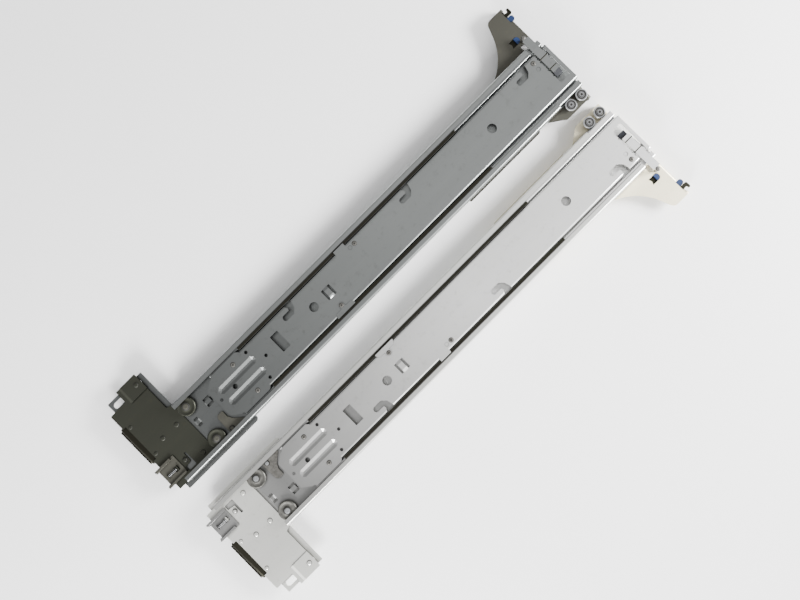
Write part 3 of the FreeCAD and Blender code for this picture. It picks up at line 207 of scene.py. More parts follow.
def zinc_plate(name, colour, stain, dulling=0.13, roughness=0.30, rear_lit_share=1.0, metallic=1.0, reach_mm=6.0):
    """Electroplated zinc on cold-rolled strip: a satin grey metal, cloudy where the passivation varies, with
    fine rolling lines along the strip, small dull stains and painted shade in the recesses. It may be painted
    darker towards the rear end, which is painted shade, and a whitish passivation makes it less metallic."""
    material, tree, place = fresh_material(name)
    along = add(tree, "ShaderNodeMapping", {"Vector": place, "Scale": (0.12, 1.0, 1.0)}).outputs["Vector"]
    rolled = add(tree, "ShaderNodeMapping", {"Vector": place, "Scale": (0.02, 1.0, 1.0)}).outputs["Vector"]
    # clouds in the passivation, a few centimetres wide and drawn out along the strip
    cloud = add(tree, "ShaderNodeTexNoise", {"Vector": along, "Scale": per_mm(60), "Detail": 3.0,
                                             "Roughness": 0.5}).outputs["Fac"]
    clouds = add(tree, "ShaderNodeValToRGB", {"Fac": cloud},
                 stops=[(0.30, shade(colour, 1 - dulling)), (0.55, colour),
                        (0.75, shade(colour, 1.08))]).outputs["Color"]
    # dull stains about 9 mm across
    blot = add(tree, "ShaderNodeTexNoise", {"Vector": place, "Scale": per_mm(9), "Detail": 5.0,
                                            "Roughness": 0.65}).outputs["Fac"]
    blots = add(tree, "ShaderNodeValToRGB", {"Fac": blot},
                stops=[(0.56, BLACK), (0.72, WHITE)]).outputs["Color"]
    faint = add(tree, "ShaderNodeMapRange", {"Value": blots, "To Min": 0.0,
                                             "To Max": FAINT}).outputs["Result"]
    stained = add(tree, "ShaderNodeMix", {0: faint, 6: clouds, 7: stain}, data_type="RGBA").outputs[2]
    # rolling lines, really under 0.1 mm apart, drawn 0.9 mm apart to show
    lines = add(tree, "ShaderNodeTexNoise", {"Vector": rolled, "Scale": per_mm(0.9), "Detail": 2.0,
                                             "Roughness": 0.55}).outputs["Fac"]
    faint = add(tree, "ShaderNodeMapRange", {"Value": lines, "To Min": 0.0,
                                             "To Max": FAINT}).outputs["Result"]
    lined = add(tree, "ShaderNodeMix", {0: faint, 6: stained, 7: shade(colour, 0.72)},
                data_type="RGBA").outputs[2]
    # painted shade, darker towards the rear
    along_rail = add(tree, "ShaderNodeSeparateXYZ", {"Vector": place}).outputs["X"]
    rear_shade = add(tree, "ShaderNodeMapRange", {"Value": along_rail, "From Min": REAR_SHADE_FULL,
                                            "From Max": REAR_SHADE_START, "To Min": 1 - rear_lit_share,
                                            "To Max": 0.0}).outputs["Result"]
    rear_shaded = add(tree, "ShaderNodeMix", {0: rear_shade, 6: lined, 7: BLACK}, data_type="RGBA").outputs[2]
    # a gloss that drifts over a few centimetres, and a plated grain drawn 1.6 mm wide to show
    sheen = add(tree, "ShaderNodeTexNoise", {"Vector": along, "Scale": per_mm(70), "Detail": 3.0,
                                             "Roughness": 0.55}).outputs["Fac"]
    gloss = add(tree, "ShaderNodeMapRange", {"Value": sheen, "To Min": roughness - 0.03,
                                             "To Max": roughness + 0.05}).outputs["Result"]
    grain = add(tree, "ShaderNodeTexNoise", {"Vector": place, "Scale": per_mm(1.6), "Detail": 4.0,
                                             "Roughness": 0.55}).outputs["Fac"]
    bump = add(tree, "ShaderNodeBump", {"Height": lines, "Strength": 0.12, "Distance": 0.05 * MM})
    bump = add(tree, "ShaderNodeBump", {"Height": grain, "Strength": 0.10, "Distance": 0.08 * MM,
                                        "Normal": bump.outputs["Normal"]})
    # the base colour carries painted shade in its recesses and under other parts
    shader = add(tree, "ShaderNodeBsdfPrincipled", {"Base Color": with_crevice_shade(tree, rear_shaded, reach_mm),
                                                    "Metallic": metallic, "Roughness": gloss,
                                                    "Normal": bump.outputs["Normal"]})
    add(tree, "ShaderNodeOutputMaterial", {"Surface": shader.outputs["BSDF"]})
    return material


def turned_steel(name, colour, roughness=0.34, mottling=0.35):
    """Turned or headed steel: mottled grey with a soft gleam. Its tool rings are too fine to see apart."""
    material, tree, place = fresh_material(name)
    patch = add(tree, "ShaderNodeTexNoise", {"Vector": place, "Scale": per_mm(3.5), "Detail": 4.0,
                                             "Roughness": 0.6}).outputs["Fac"]
    mottled = add(tree, "ShaderNodeValToRGB", {"Fac": patch},
                  stops=[(0.32, shade(colour, 1 - mottling)), (0.6, colour),
                         (0.8, shade(colour, 1.12))]).outputs["Color"]
    sheen = add(tree, "ShaderNodeTexNoise", {"Vector": place, "Scale": per_mm(2.0), "Detail": 3.0,
                                             "Roughness": 0.55}).outputs["Fac"]
    gloss = add(tree, "ShaderNodeMapRange", {"Value": sheen, "To Min": roughness - 0.06,
                                             "To Max": roughness + 0.12}).outputs["Result"]
    # the tools' marks are really under 0.1 mm, drawn at 0.7 mm to show
    grain = add(tree, "ShaderNodeTexNoise", {"Vector": place, "Scale": per_mm(0.7), "Detail": 3.0,
                                             "Roughness": 0.55}).outputs["Fac"]
    bump = add(tree, "ShaderNodeBump", {"Height": grain, "Strength": 0.15, "Distance": 0.04 * MM})
    # the base colour carries painted shade in its recesses and under other parts
    shader = add(tree, "ShaderNodeBsdfPrincipled", {"Base Color": with_crevice_shade(tree, mottled, 3.0), "Metallic": 1.0,
                                                    "Roughness": gloss, "Normal": bump.outputs["Normal"]})
    add(tree, "ShaderNodeOutputMaterial", {"Surface": shader.outputs["BSDF"]})
    return material


def moulded_acetal(name, colour):
    """Injection-moulded acetal: an even satin with a fine spark-eroded texture, scuffed slightly paler where
    a thumb rubs it."""
    material, tree, place = fresh_material(name)
    rub = add(tree, "ShaderNodeTexNoise", {"Vector": place, "Scale": per_mm(4.0), "Detail": 4.0,
                                           "Roughness": 0.6}).outputs["Fac"]
    tint = add(tree, "ShaderNodeValToRGB", {"Fac": rub},
               stops=[(0.3, shade(colour, 0.80)), (0.6, colour),
                      (0.85, shade(colour, 1.35))]).outputs["Color"]
    sheen = add(tree, "ShaderNodeTexNoise", {"Vector": place, "Scale": per_mm(2.5), "Detail": 3.0,
                                             "Roughness": 0.55}).outputs["Fac"]
    gloss = add(tree, "ShaderNodeMapRange", {"Value": sheen, "To Min": 0.38,
                                             "To Max": 0.56}).outputs["Result"]
    # the eroded texture is really about 0.05 mm, drawn at 0.5 mm to show
    grain = add(tree, "ShaderNodeTexNoise", {"Vector": place, "Scale": per_mm(0.5), "Detail": 2.0,
                                             "Roughness": 0.55}).outputs["Fac"]
    bump = add(tree, "ShaderNodeBump", {"Height": grain, "Strength": 0.25, "Distance": 0.05 * MM})
    shader = add(tree, "ShaderNodeBsdfPrincipled", {"Base Color": tint, "Metallic": 0.0, "Roughness": gloss,
                                                    "IOR": 1.48, "Normal": bump.outputs["Normal"]})
    add(tree, "ShaderNodeOutputMaterial", {"Surface": shader.outputs["BSDF"]})
    return material


def sheared_steel(name, colour):
    """Bare sheared or blanked edge: rough, oxidised grey steel with darker specks. Its near-black colours
    paint shade: dark outlines on the broken edges and dark recesses on round pieces.
    """
    material, tree, place = fresh_material(name)
    speck = add(tree, "ShaderNodeTexNoise", {"Vector": place, "Scale": per_mm(1.2), "Detail": 4.0,
                                             "Roughness": 0.6}).outputs["Fac"]
    specks = add(tree, "ShaderNodeValToRGB", {"Fac": speck},
                 stops=[(0.35, shade(colour, 0.55)), (0.6, colour),
                        (0.8, shade(colour, 1.3))]).outputs["Color"]
    # the torn grain is really about 0.1 mm, drawn at 0.4 mm to show
    grain = add(tree, "ShaderNodeTexNoise", {"Vector": place, "Scale": per_mm(0.4), "Detail": 3.0,
                                             "Roughness": 0.55}).outputs["Fac"]
    bump = add(tree, "ShaderNodeBump", {"Height": grain, "Strength": 0.3, "Distance": 0.05 * MM})
    shader = add(tree, "ShaderNodeBsdfPrincipled", {"Base Color": specks, "Metallic": 0.2, "Roughness": 0.6,
                                                    "Normal": bump.outputs["Normal"]})
    add(tree, "ShaderNodeOutputMaterial", {"Surface": shader.outputs["BSDF"]})
    return material


# name, how it is made, and what sets it apart
FINISHES = {
    # the right- and left-hand entries are shaded and lit copies of one finish: painted shade and painted
    # light
    "channel_right": ("zinc_plate_right_channel", zinc_plate, {"stain": linear("6f6e66"), "rear_lit_share": 0.60}),
    "channel_left": ("zinc_plate_left_channel", zinc_plate,
                     {"stain": linear("b9b7b0"), "dulling": 0.10, "rear_lit_share": 0.55, "metallic": 0.85}),
    "zinc_right": ("zinc_plate_right_members", zinc_plate, {"stain": linear("55544b"), "rear_lit_share": 0.50}),
    "zinc_left": ("zinc_plate_left_members", zinc_plate,
                  {"stain": linear("a3a19a"), "dulling": 0.12, "rear_lit_share": 0.30, "metallic": 0.85}),
    "chromate_right": ("chromated_zinc_right_bracket", zinc_plate,
                       {"stain": linear("77735f"), "roughness": 0.46}),
    "chromate_left": ("chromated_zinc_left_bracket", zinc_plate,
                      {"stain": linear("c9bd98"), "roughness": 0.44, "dulling": 0.10, "metallic": 0.6}),
    "bracket_right": ("dulled_zinc_rear_bracket", zinc_plate, {"stain": linear("4c4a3c"), "roughness": 0.44}),
    "bracket_left": ("satin_zinc_rear_bracket", zinc_plate, {"stain": linear("8f8c80"), "metallic": 0.9}),
    "white_steel": ("bright_zinc_levers", zinc_plate,
                    {"stain": linear("a8a69a"), "dulling": 0.12, "reach_mm": 10.0}),
    "dark_steel": ("oiled_dark_steel", zinc_plate, {"stain": linear("3a382f"), "roughness": 0.38}),
    "rivet_steel": ("headed_rivet_steel", turned_steel, {}),
    "roller_steel": ("sintered_roller_steel", turned_steel, {"roughness": 0.42}),
    "bearing_steel": ("ground_bearing_steel", turned_steel, {"roughness": 0.20, "mottling": 0.25}),
    "spring_steel": ("drawn_spring_wire", turned_steel, {"roughness": 0.22, "mottling": 0.2}),
    "blue_plastic": ("moulded_blue_acetal", moulded_acetal, {}),
    "black_plastic": ("moulded_black_acetal", moulded_acetal, {}),
    "edge_right": ("sheared_edge_right", sheared_steel, {}),
    "edge_left": ("sheared_edge_left", sheared_steel, {}),
    # the finish that paints shade in recesses
    "grime": ("grime_in_recesses", sheared_steel, {}),
}


def finish(slot_name):
    """The finish of that colour's name, made the first time that it is asked for."""
    name, maker, settings = FINISHES[slot_name]
    if name not in bpy.data.materials:
        maker(name, tuple(getattr(bpy.context.scene.rail_colours, slot_name)), **settings)
    return bpy.data.materials[name]


# ---- modelling helpers ----------------------------------------------------------------------------
def deselect():
    if bpy.context.object and bpy.context.object.mode != "OBJECT":
        bpy.ops.object.mode_set(mode="OBJECT")
    bpy.ops.object.select_all(action="DESELECT")


def activate(piece):
    deselect()
    piece.select_set(True)
    bpy.context.view_layer.objects.active = piece


def settle(piece):
    """Puts the piece's place into its mesh and shades its curves smooth."""
    activate(piece)
    bpy.ops.object.transform_apply(location=True, rotation=True, scale=True)
    bpy.ops.object.shade_smooth_by_angle(angle=SMOOTH)
    return piece


def turned(name, profile, steps):
    """Spins a chain of (radius, height) points, in metres, round the z axis."""
    deselect()
    bpy.ops.mesh.primitive_plane_add(size=MM, location=(profile[0][0], 0, profile[0][1]))
    piece = bpy.context.object
    piece.name = name
    bpy.ops.object.mode_set(mode="EDIT")
    bpy.ops.mesh.select_mode(type="VERT")
    bpy.ops.mesh.select_all(action="SELECT")
    bpy.ops.mesh.merge(type="CENTER")
    for (r0, z0), (r1, z1) in zip(profile, profile[1:]):
        bpy.ops.mesh.extrude_region_move(TRANSFORM_OT_translate={"value": (r1 - r0, 0, z1 - z0)})
    bpy.ops.mesh.select_all(action="SELECT")
    bpy.ops.mesh.spin(steps=steps, angle=2 * math.pi, center=(0, 0, 0), axis=(0, 0, 1))
    bpy.ops.mesh.select_all(action="SELECT")
    bpy.ops.mesh.remove_doubles(threshold=DOUBLES)
    bpy.ops.mesh.normals_make_consistent(inside=False)
    bpy.ops.object.mode_set(mode="OBJECT")
    return settle(piece)


def dress(piece, *slot_names):
    piece.data.materials.clear()
    for slot_name in slot_names:
        piece.data.materials.append(finish(slot_name))


def with_painted_shade(piece, slot_name, is_shaded):
    """Gives a round piece its finish, with painted shade on the faces that the test picks by radius, level
    and how far they look up."""
    dress(piece, slot_name, "grime")
    for polygon in piece.data.polygons:
        centre = polygon.center
        picked = is_shaded(math.hypot(centre.x, centre.y), centre.z, polygon.normal.z)
        polygon.material_index = 1 if picked else 0
    return piece


def break_edges(node, name, width, segments):
    """Welds a CAD node's loose triangles and rounds its sharp edges, with modifiers."""
    weld = node.modifiers.new("weld", "WELD")
    weld.merge_threshold = WELD
    bevel = node.modifiers.new(name, "BEVEL")
    bevel.width = width
    bevel.segments = segments
    bevel.limit_method = "ANGLE"
    bevel.angle_limit = SHARP
    return bevel


def copied(master, name, matrix):
    """A copy with its own mesh, moved within that mesh."""
    piece = master.copy()
    piece.data = master.data.copy()
    piece.name = name
    bpy.context.collection.objects.link(piece)
    piece.data.transform(matrix)
    return piece


def standing_on(node):
    """Puts a piece made on the z axis on the foot of a round CAD node."""
    low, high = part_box(node)
    return Matrix.Translation(((low.x + high.x) / 2, (low.y + high.y) / 2, low.z))


def lying_in(node):
    """Lays a piece made up the z axis along a CAD node that lies along x."""
    low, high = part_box(node)
    return Matrix.Translation((low.x, (low.y + high.y) / 2, (low.z + high.z) / 2)) @ Z_TO_X


def joined(name, pieces):
    deselect()
    for piece in pieces:
        piece.select_set(True)
    bpy.context.view_layer.objects.active = pieces[0]
    if len(pieces) > 1:
        bpy.ops.object.join()
    pieces[0].name = name
    return pieces[0]


def drop(pieces):
    for piece in pieces:
        bpy.data.objects.remove(piece)


def stand_for(piece, node, slot_name=None):
    """The piece takes the CAD node's place, body and finish. One that has painted shade on it keeps its
    finishes.
    """
    slot_name = slot_name or SLOT_OF[node]
    if len(piece.data.materials) < 2:
        dress(piece, slot_name)
    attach(piece, frame["nodes"][node]["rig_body"])
    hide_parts(node)
    return piece


def solids(node):
    """The separate solids of a CAD node: centre on the plan, and the radii found at each level."""
    mesh = frame["nodes"][node].data
    keys = [tuple(round(c, 6) for c in vertex.co) for vertex in mesh.vertices]
    parent = {key: key for key in keys}

    def root(key):
        while parent[key] != key:
            parent[key] = parent[parent[key]]
            key = parent[key]
        return key

    for polygon in mesh.polygons:
        first = keys[polygon.vertices[0]]
        for index in polygon.vertices[1:]:
            parent[root(keys[index])] = root(first)
    groups = {}
    for key in parent:
        groups.setdefault(root(key), []).append(key)
    found = []
    for points in groups.values():
        x = (min(p[0] for p in points) + max(p[0] for p in points)) / 2
        y = (min(p[1] for p in points) + max(p[1] for p in points)) / 2
        levels = {}
        for p in points:
            radius = round(math.hypot(p[0] - x, p[1] - y), 5)
            levels.setdefault(round(p[2], 5), set()).add(radius)
        found.append({"x": x, "y": y, "levels": sorted((z, sorted(r)) for z, r in levels.items())})
    return sorted(found, key=lambda s: (s["x"], s["y"]))


def steps_of(levels):
    """Profile of a stepped round solid, from the bottom up."""
    profile = [(0.0, levels[0][0]), (levels[0][1][-1], levels[0][0])]
    for z, radii in levels[1:]:
        before = profile[-1][0]
        after = [r for r in radii if abs(r - before) > SAME_RADIUS]
        profile.append((before, z))
        if after:
            profile.append((after[-1], z))
    profile.append((0.0, levels[-1][0]))
    return profile


def head_top(r, z0, z1, dimple):
    """Crowned head with a hollow in its middle, from its rim to its axis."""
    height = z1 - z0
    crown = [(r * (0.52 + 0.48 * math.cos(a)), z0 + height * (0.35 + 0.65 * math.sin(a)))
             for a in (math.radians(t) for t in (0, 25, 50, 75, 90))]
    if dimple > 0:
        return crown + [(dimple, z1), (dimple * 0.62, z1 - height * 0.55), (0.0, z1 - height * 0.62)]
    return crown + [(0.0, z1)]


def flat_top(r, z0, z1):
    """Turned head with a wide chamfer and a flat face."""
    height = z1 - z0
    return [(r, z0 + height * 0.25), (r * 0.93, z0 + height * 0.62), (r * 0.66, z1), (r * 0.2, z1),
            (0.0, z1 - height * 0.1)]


def fastener(levels, top):
    """Round piece on a CAD solid's own levels, with a chamfered foot and the given kind of head."""
    profile = steps_of(levels)
    radius, z0 = profile[1]
    z1 = profile[2][1]
    foot = [(0.0, z0), (radius * 0.8, z0), (radius, z0 + (z1 - z0) * 0.4)]
    rim, seat = profile[-2], profile[-3]
    return turned("fastener", foot + profile[2:-2] + top(rim[0], seat[1], rim[1]), 28)


def fasteners(node, top, slot_name=None, hollow=0.0):
    """Every solid of a node as a round fastener; like ones are copied from the first. Painted shade lies
    round the heads and in their hollows."""
    outline = 0.62    # share of a head's radius where the painted shade round it starts
    masters = []
    pieces = []
    for solid in solids(node):
        base = solid["levels"][0][0]
        shape = [(round(z - base, 5), radii) for z, radii in solid["levels"]]
        known = next((m for m in masters if m[0] == shape), None)
        if known is None:
            rim = shape[-1][1][-1]
            known = (shape, with_painted_shade(fastener(shape, top), slot_name or SLOT_OF[node],
                                   lambda r, z, up: up < LEVEL and r > rim * outline or r < hollow))
            masters.append(known)
        place = Matrix.Translation((solid["x"], solid["y"], base))
        pieces.append(copied(known[1], node + "_round", place))
    drop([master for _, master in masters])
    return stand_for(joined(node + "_round", pieces), node, slot_name)


def wire_coil(name, wire, radius, length, turns):
    """Open coil of round wire about the z axis, from z = 0 to length."""
    deselect()
    bpy.ops.mesh.primitive_circle_add(vertices=8, radius=wire, location=(radius, 0, wire),
                                      rotation=(math.pi / 2, 0, 0))
    piece = bpy.context.object
    piece.name = name
    bpy.ops.object.transform_apply(location=True, rotation=True, scale=True)
    screw = piece.modifiers.new("coil", "SCREW")
    screw.angle = 2 * math.pi
    screw.iterations = turns
    screw.steps = screw.render_steps = 20
    screw.screw_offset = (length - 2 * wire) / turns
    bpy.ops.object.modifier_apply(modifier="coil")
    bpy.ops.object.mode_set(mode="EDIT")
    bpy.ops.mesh.select_all(action="SELECT")
    bpy.ops.mesh.remove_doubles(threshold=DOUBLES)
    bpy.ops.mesh.fill_holes(sides=8)
    bpy.ops.mesh.normals_make_consistent(inside=False)
    bpy.ops.object.mode_set(mode="OBJECT")
    return piece


# ---- one operator for each group of like pieces ---------------------------------------------------
class SheetMetal(bpy.types.Operator):
    """Gives the channels, members, brackets and levers their plated finish and broken edges"""
    bl_idname = "rails.sheet_metal"
    bl_label = "Sheet metal"

    parts = ("outer_channel", "front_bracket", "middle_member", "inner_member", "latch_lever",
             "release_slide", "rear_base_plate", "rear_bracket", "rear_mount_angle", "rear_latch",
             "detent_pawl", "edge_clip", "ball_retainers")

    def execute(self, context):
        width = context.scene.rail_sizes.edge_break
        for side in SIDES:
            for part in self.parts:
                node = frame["nodes"][side + "_" + part]
                dress(node, self.finish_of(side, part), "edge_" + side)
                # the broken edges take the near-black edge colour: a painted shade outline
                break_edges(node, "edge break", width, 2).material = 1
        return {"FINISHED"}

    @staticmethod
    def finish_of(side, part):
        """The record's finish, or another finish for that side: the right-hand rail's are darker, painted
        shade, and the left-hand rail's lighter, painted light.
        """
        chosen = {"outer_channel": "channel_" + side, "ball_retainers": "dark_steel"}
        if side == "right":
            chosen.update(detent_pawl="chromate_right", rear_latch="chromate_right",
                          rear_base_plate="zinc_right")
        else:
            chosen.update(detent_pawl="rivet_steel", rear_base_plate="bracket_left")
        return chosen.get(part, SLOT_OF[side + "_" + part])


class Mouldings(bpy.types.Operator):
    """Gives the release tab and the lever pad their moulded finish and rounded edges"""
    bl_idname = "rails.mouldings"
    bl_label = "Mouldings"

    def execute(self, context):
        for side in SIDES:
            for part, slot_name in (("release_tab", "blue_plastic"), ("lever_pad", "black_plastic")):
                node = frame["nodes"][side + "_" + part]
                dress(node, slot_name)
                break_edges(node, "moulded edge", context.scene.rail_sizes.moulded_edge, 3)
        return {"FINISHED"}


class Rivets(bpy.types.Operator):
    """Round rivets with hollow heads, in the channels, inner members, rear brackets and levers"""
    bl_idname = "rails.rivets"
    bl_label = "Rivets"

    def execute(self, context):
        hollow = context.scene.rail_sizes.rivet_dimple
        fasteners("channel_rivets", lambda r, z0, z1: head_top(r, z0, z1, 0.0))
        for side in SIDES:
            fasteners(side + "_inner_rivets", lambda r, z0, z1: head_top(r, z0, z1, hollow), hollow=hollow)
            # the rear fasteners take their bracket's side colour: painted shade on the right, painted light
            # on the left
            fasteners(side + "_rear_fasteners", lambda r, z0, z1: head_top(r, z0, z1, 0.0), "bracket_" + side)
            fasteners(side + "_lock_pin", lambda r, z0, z1: head_top(r, z0, z1, 0.0))
        return {"FINISHED"}


class RollerStuds(bpy.types.Operator):
    """Studs of the rear rollers and the pawls, with chamfered heads"""
    bl_idname = "rails.roller_studs"
    bl_label = "Roller studs"

    def execute(self, context):
        # the right-hand studs take a darker finish than the left-hand ones: painted shade
        for side, slot_name in (("right", "chromate_right"), ("left", "bearing_steel")):
            fasteners(side + "_middle_pins", flat_top, slot_name)
        return {"FINISHED"}


class Rollers(bpy.types.Operator):
    """Rear rollers with chamfered rims and a shallow dish turned in the face"""
    bl_idname = "rails.rollers"
    bl_label = "Rear rollers"

    def execute(self, context):
        cut = context.scene.rail_sizes.roller_chamfer
        bore = context.scene.rail_sizes.roller_bore
        low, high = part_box("right_rear_roller_upper")
        rim = (high.x - low.x) / 2
        width = high.z - low.z
        dish_depth, dish_slope = 0.15 * MM, 0.4 * MM
        dish_rim, hub = rim - 2.6 * MM, 6.2 * MM
        profile = [(bore, 0), (rim - cut, 0), (rim, cut), (rim, width - cut), (rim - cut, width),
                   (dish_rim, width), (dish_rim - dish_slope, width - dish_depth),
                   (hub + dish_slope, width - dish_depth), (hub, width), (bore, width), (bore, 0)]
        master = turned("roller", profile, 56)
        # the right-hand rollers take the dark rear bracket finish: painted shade
        for side, slot_name in (("right", "bracket_right"), ("left", "roller_steel")):
            for part in ("rear_roller_upper", "rear_roller_lower"):
                node = side + "_" + part
                stand_for(copied(master, node + "_turned", standing_on(node)), node, slot_name)
        drop([master])
        return {"FINISHED"}


class Bearings(bpy.types.Operator):
    """Front ball bearings: outer rings with recessed shields, and studs with the inner rings"""
    bl_idname = "rails.bearings"
    bl_label = "Front bearings"

    def execute(self, context):
        sizes = context.scene.rail_sizes
        recess, bore = sizes.shield_recess, sizes.shield_bore
        low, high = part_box("right_bearing_ring_front")
        rim = (high.x - low.x) / 2
        width = high.z - low.z
        wall = rim - sizes.ring_wall
        cut, draft = 0.45 * MM, 0.15 * MM
        profile = [(rim - cut, 0), (rim, cut), (rim, width - cut), (rim - cut, width), (wall, width),
                   (wall - draft, width - recess), (bore, width - recess), (bore, recess),
                   (wall - draft, recess), (wall, 0), (rim - cut, 0)]
        near = 1.1 * recess
        # the recessed shields take the painted shade colour
        master = with_painted_shade(turned("bearing", profile, 48), "bearing_steel",
                        lambda r, z, up: r < wall and (abs(z - width) < near or z < near))
        for side in SIDES:
            for part in ("bearing_ring_rear", "bearing_ring_front"):
                node = side + "_" + part
                stand_for(copied(master, node + "_shielded", standing_on(node)), node)
        drop([master])
        fasteners("bearing_studs", self.stud_top, hollow=1.9 * MM)
        return {"FINISHED"}

    @staticmethod
    def stud_top(r, z0, z1):
        """Chamfered end of a stud, drilled 0.8 mm deep where it was riveted over."""
        return [(r, z0 + (z1 - z0) * 0.5), (r * 0.86, z1), (r * 0.5, z1), (r * 0.4, z1 - 0.7 * MM),
                (0.0, z1 - 0.8 * MM)]


class RaceBalls(bpy.types.Operator):
    """Balls in the races between the inner and middle members"""
    bl_idname = "rails.race_balls"
    bl_label = "Race balls"

    def execute(self, context):
        for side in SIDES:
            node = side + "_race_balls"
            found = solids(node)
            radius = max((ball["levels"][-1][0] - ball["levels"][0][0]) / 2 for ball in found)
            arc = [(radius * math.sin(math.radians(t)), -radius * math.cos(math.radians(t)))
                   for t in range(0, 181, 15)]
            arc[-1] = (0.0, radius)
            master = turned("ball", arc, 20)
            pieces = []
            for ball in found:
                height = (ball["levels"][0][0] + ball["levels"][-1][0]) / 2
                place = Matrix.Translation((ball["x"], ball["y"], height))
                pieces.append(copied(master, node + "_round", place))
            drop([master])
            stand_for(joined(node + "_round", pieces), node)
        return {"FINISHED"}


class Springs(bpy.types.Operator):
    """Coil springs of the release slides and rear latches, and the levers' torsion springs"""
    bl_idname = "rails.springs"
    bl_label = "Springs"

    def execute(self, context):
        wire = context.scene.rail_sizes.wire_radius
        for side in SIDES:
            self.compression(side + "_release_spring", wire, 4)
            self.compression(side + "_rear_latch_spring", wire, 7)
            self.torsion(side, wire)
        return {"FINISHED"}

    @staticmethod
    def compression(node, wire, turns):
        low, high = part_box(node)
        radius = (high.y - low.y) / 2 - wire
        coil = wire_coil(node + "_wound", wire, radius, high.x - low.x, turns)
        coil.data.transform(lying_in(node))
        stand_for(settle(coil), node)

    @staticmethod
    def torsion(side, wire):
        """Two turns round the lever's pin, with a leg each way. The left spring is the right one's mirror
        image."""
        node = side + "_lever_spring"
        low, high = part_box(node)
        pin_low, pin_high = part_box(side + "_lever_pivot")
        y = (pin_low.y + pin_high.y) / 2
        z = (pin_low.z + pin_high.z) / 2
        clearance = 0.35 * MM
        radius = (pin_high.z - pin_low.z) / 2 + clearance + wire
        coil = wire_coil(node + "_wound", wire, radius, high.x - low.x, 2)
        way = 1 if side == "right" else -1
        legs = sorted(((low.y - y) * way, (high.y - y) * way))
        activate(coil)
        bpy.ops.object.mode_set(mode="EDIT")
        bpy.ops.mesh.select_mode(type="FACE")
        for direction, reach in zip((-1, 1), legs):
            bpy.ops.mesh.select_all(action="DESELECT")
            bpy.ops.object.mode_set(mode="OBJECT")
            # the wire's cut end that looks that way, the only kind of face with eight corners
            for polygon in coil.data.polygons:
                polygon.select = len(polygon.vertices) == 8 and polygon.normal.y * direction > 0.7
            bpy.ops.object.mode_set(mode="EDIT")
            bpy.ops.mesh.extrude_region_move(TRANSFORM_OT_translate={"value": (0, reach, 0)})
        bpy.ops.object.mode_set(mode="OBJECT")
        axes = Matrix(((0, 0, 1), (0, way, 0), (1, 0, 0))).to_4x4()
        turn = Matrix.Translation((low.x, y, z)) @ axes
        coil.data.transform(turn)
        if turn.determinant() < 0:
            coil.data.flip_normals()
        stand_for(settle(coil), node)


class LeverPivots(bpy.types.Operator):
    """Pivot pins of the latch levers, with chamfered ends, and the straps across the levers"""
    bl_idname = "rails.lever_pivots"
    bl_label = "Lever pivots"

    def execute(self, context):
        for side in SIDES:
            node = side + "_lever_pivot"
            low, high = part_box(node)
            radius = (high.z - low.z) / 2
            length = high.x - low.x
            end = radius * 0.3
            profile = [(0.0, 0.0), (radius - end, 0.0), (radius, end), (radius, length - end),
                       (radius - end, length), (0.0, length)]
            pin = turned(node + "_turned", profile, 24)
            pin.data.transform(lying_in(node))
            stand_for(pin, node)
            self.straps(side, (low.y + high.y) / 2, context.scene.rail_sizes.strap_radius)
        return {"FINISHED"}

    @staticmethod
    def straps(side, pivot, radius):
        """Two straps sunk in the lever's top, one over its pivot and one near its thumb end. They stand out a
        little at both its sides."""
        low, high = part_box(side + "_latch_lever")
        thumb = high.y if abs(high.y) < abs(low.y) else low.y
        from_thumb, stand_out, sunk, flattened = 6.4 * MM, 0.8 * MM, 0.2 * MM, 0.8
        length = high.x - low.x + 2 * stand_out
        profile = [(0.0, 0.0), (radius * 0.7, 0.0), (radius, radius * 0.4), (radius, length - 0.3 * MM),
                   (radius * 0.7, length), (0.0, length)]
        flat = Matrix.Diagonal((flattened, 1.0, 1.0, 1.0))
        straps = []
        for place in (pivot, thumb + math.copysign(from_thumb, pivot - thumb)):
            strap = turned(side + "_lever_strap", profile, 16)
            start = Matrix.Translation((low.x - stand_out, place, high.z - sunk))
            strap.data.transform(start @ Z_TO_X @ flat)
            straps.append(strap)
        piece = joined(side + "_lever_straps", straps)
        # the straps are dressed in dark steel to draw a dark line across the lever: painted shade
        dress(piece, "dark_steel")
        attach(piece, frame["nodes"][side + "_latch_lever"]["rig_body"])


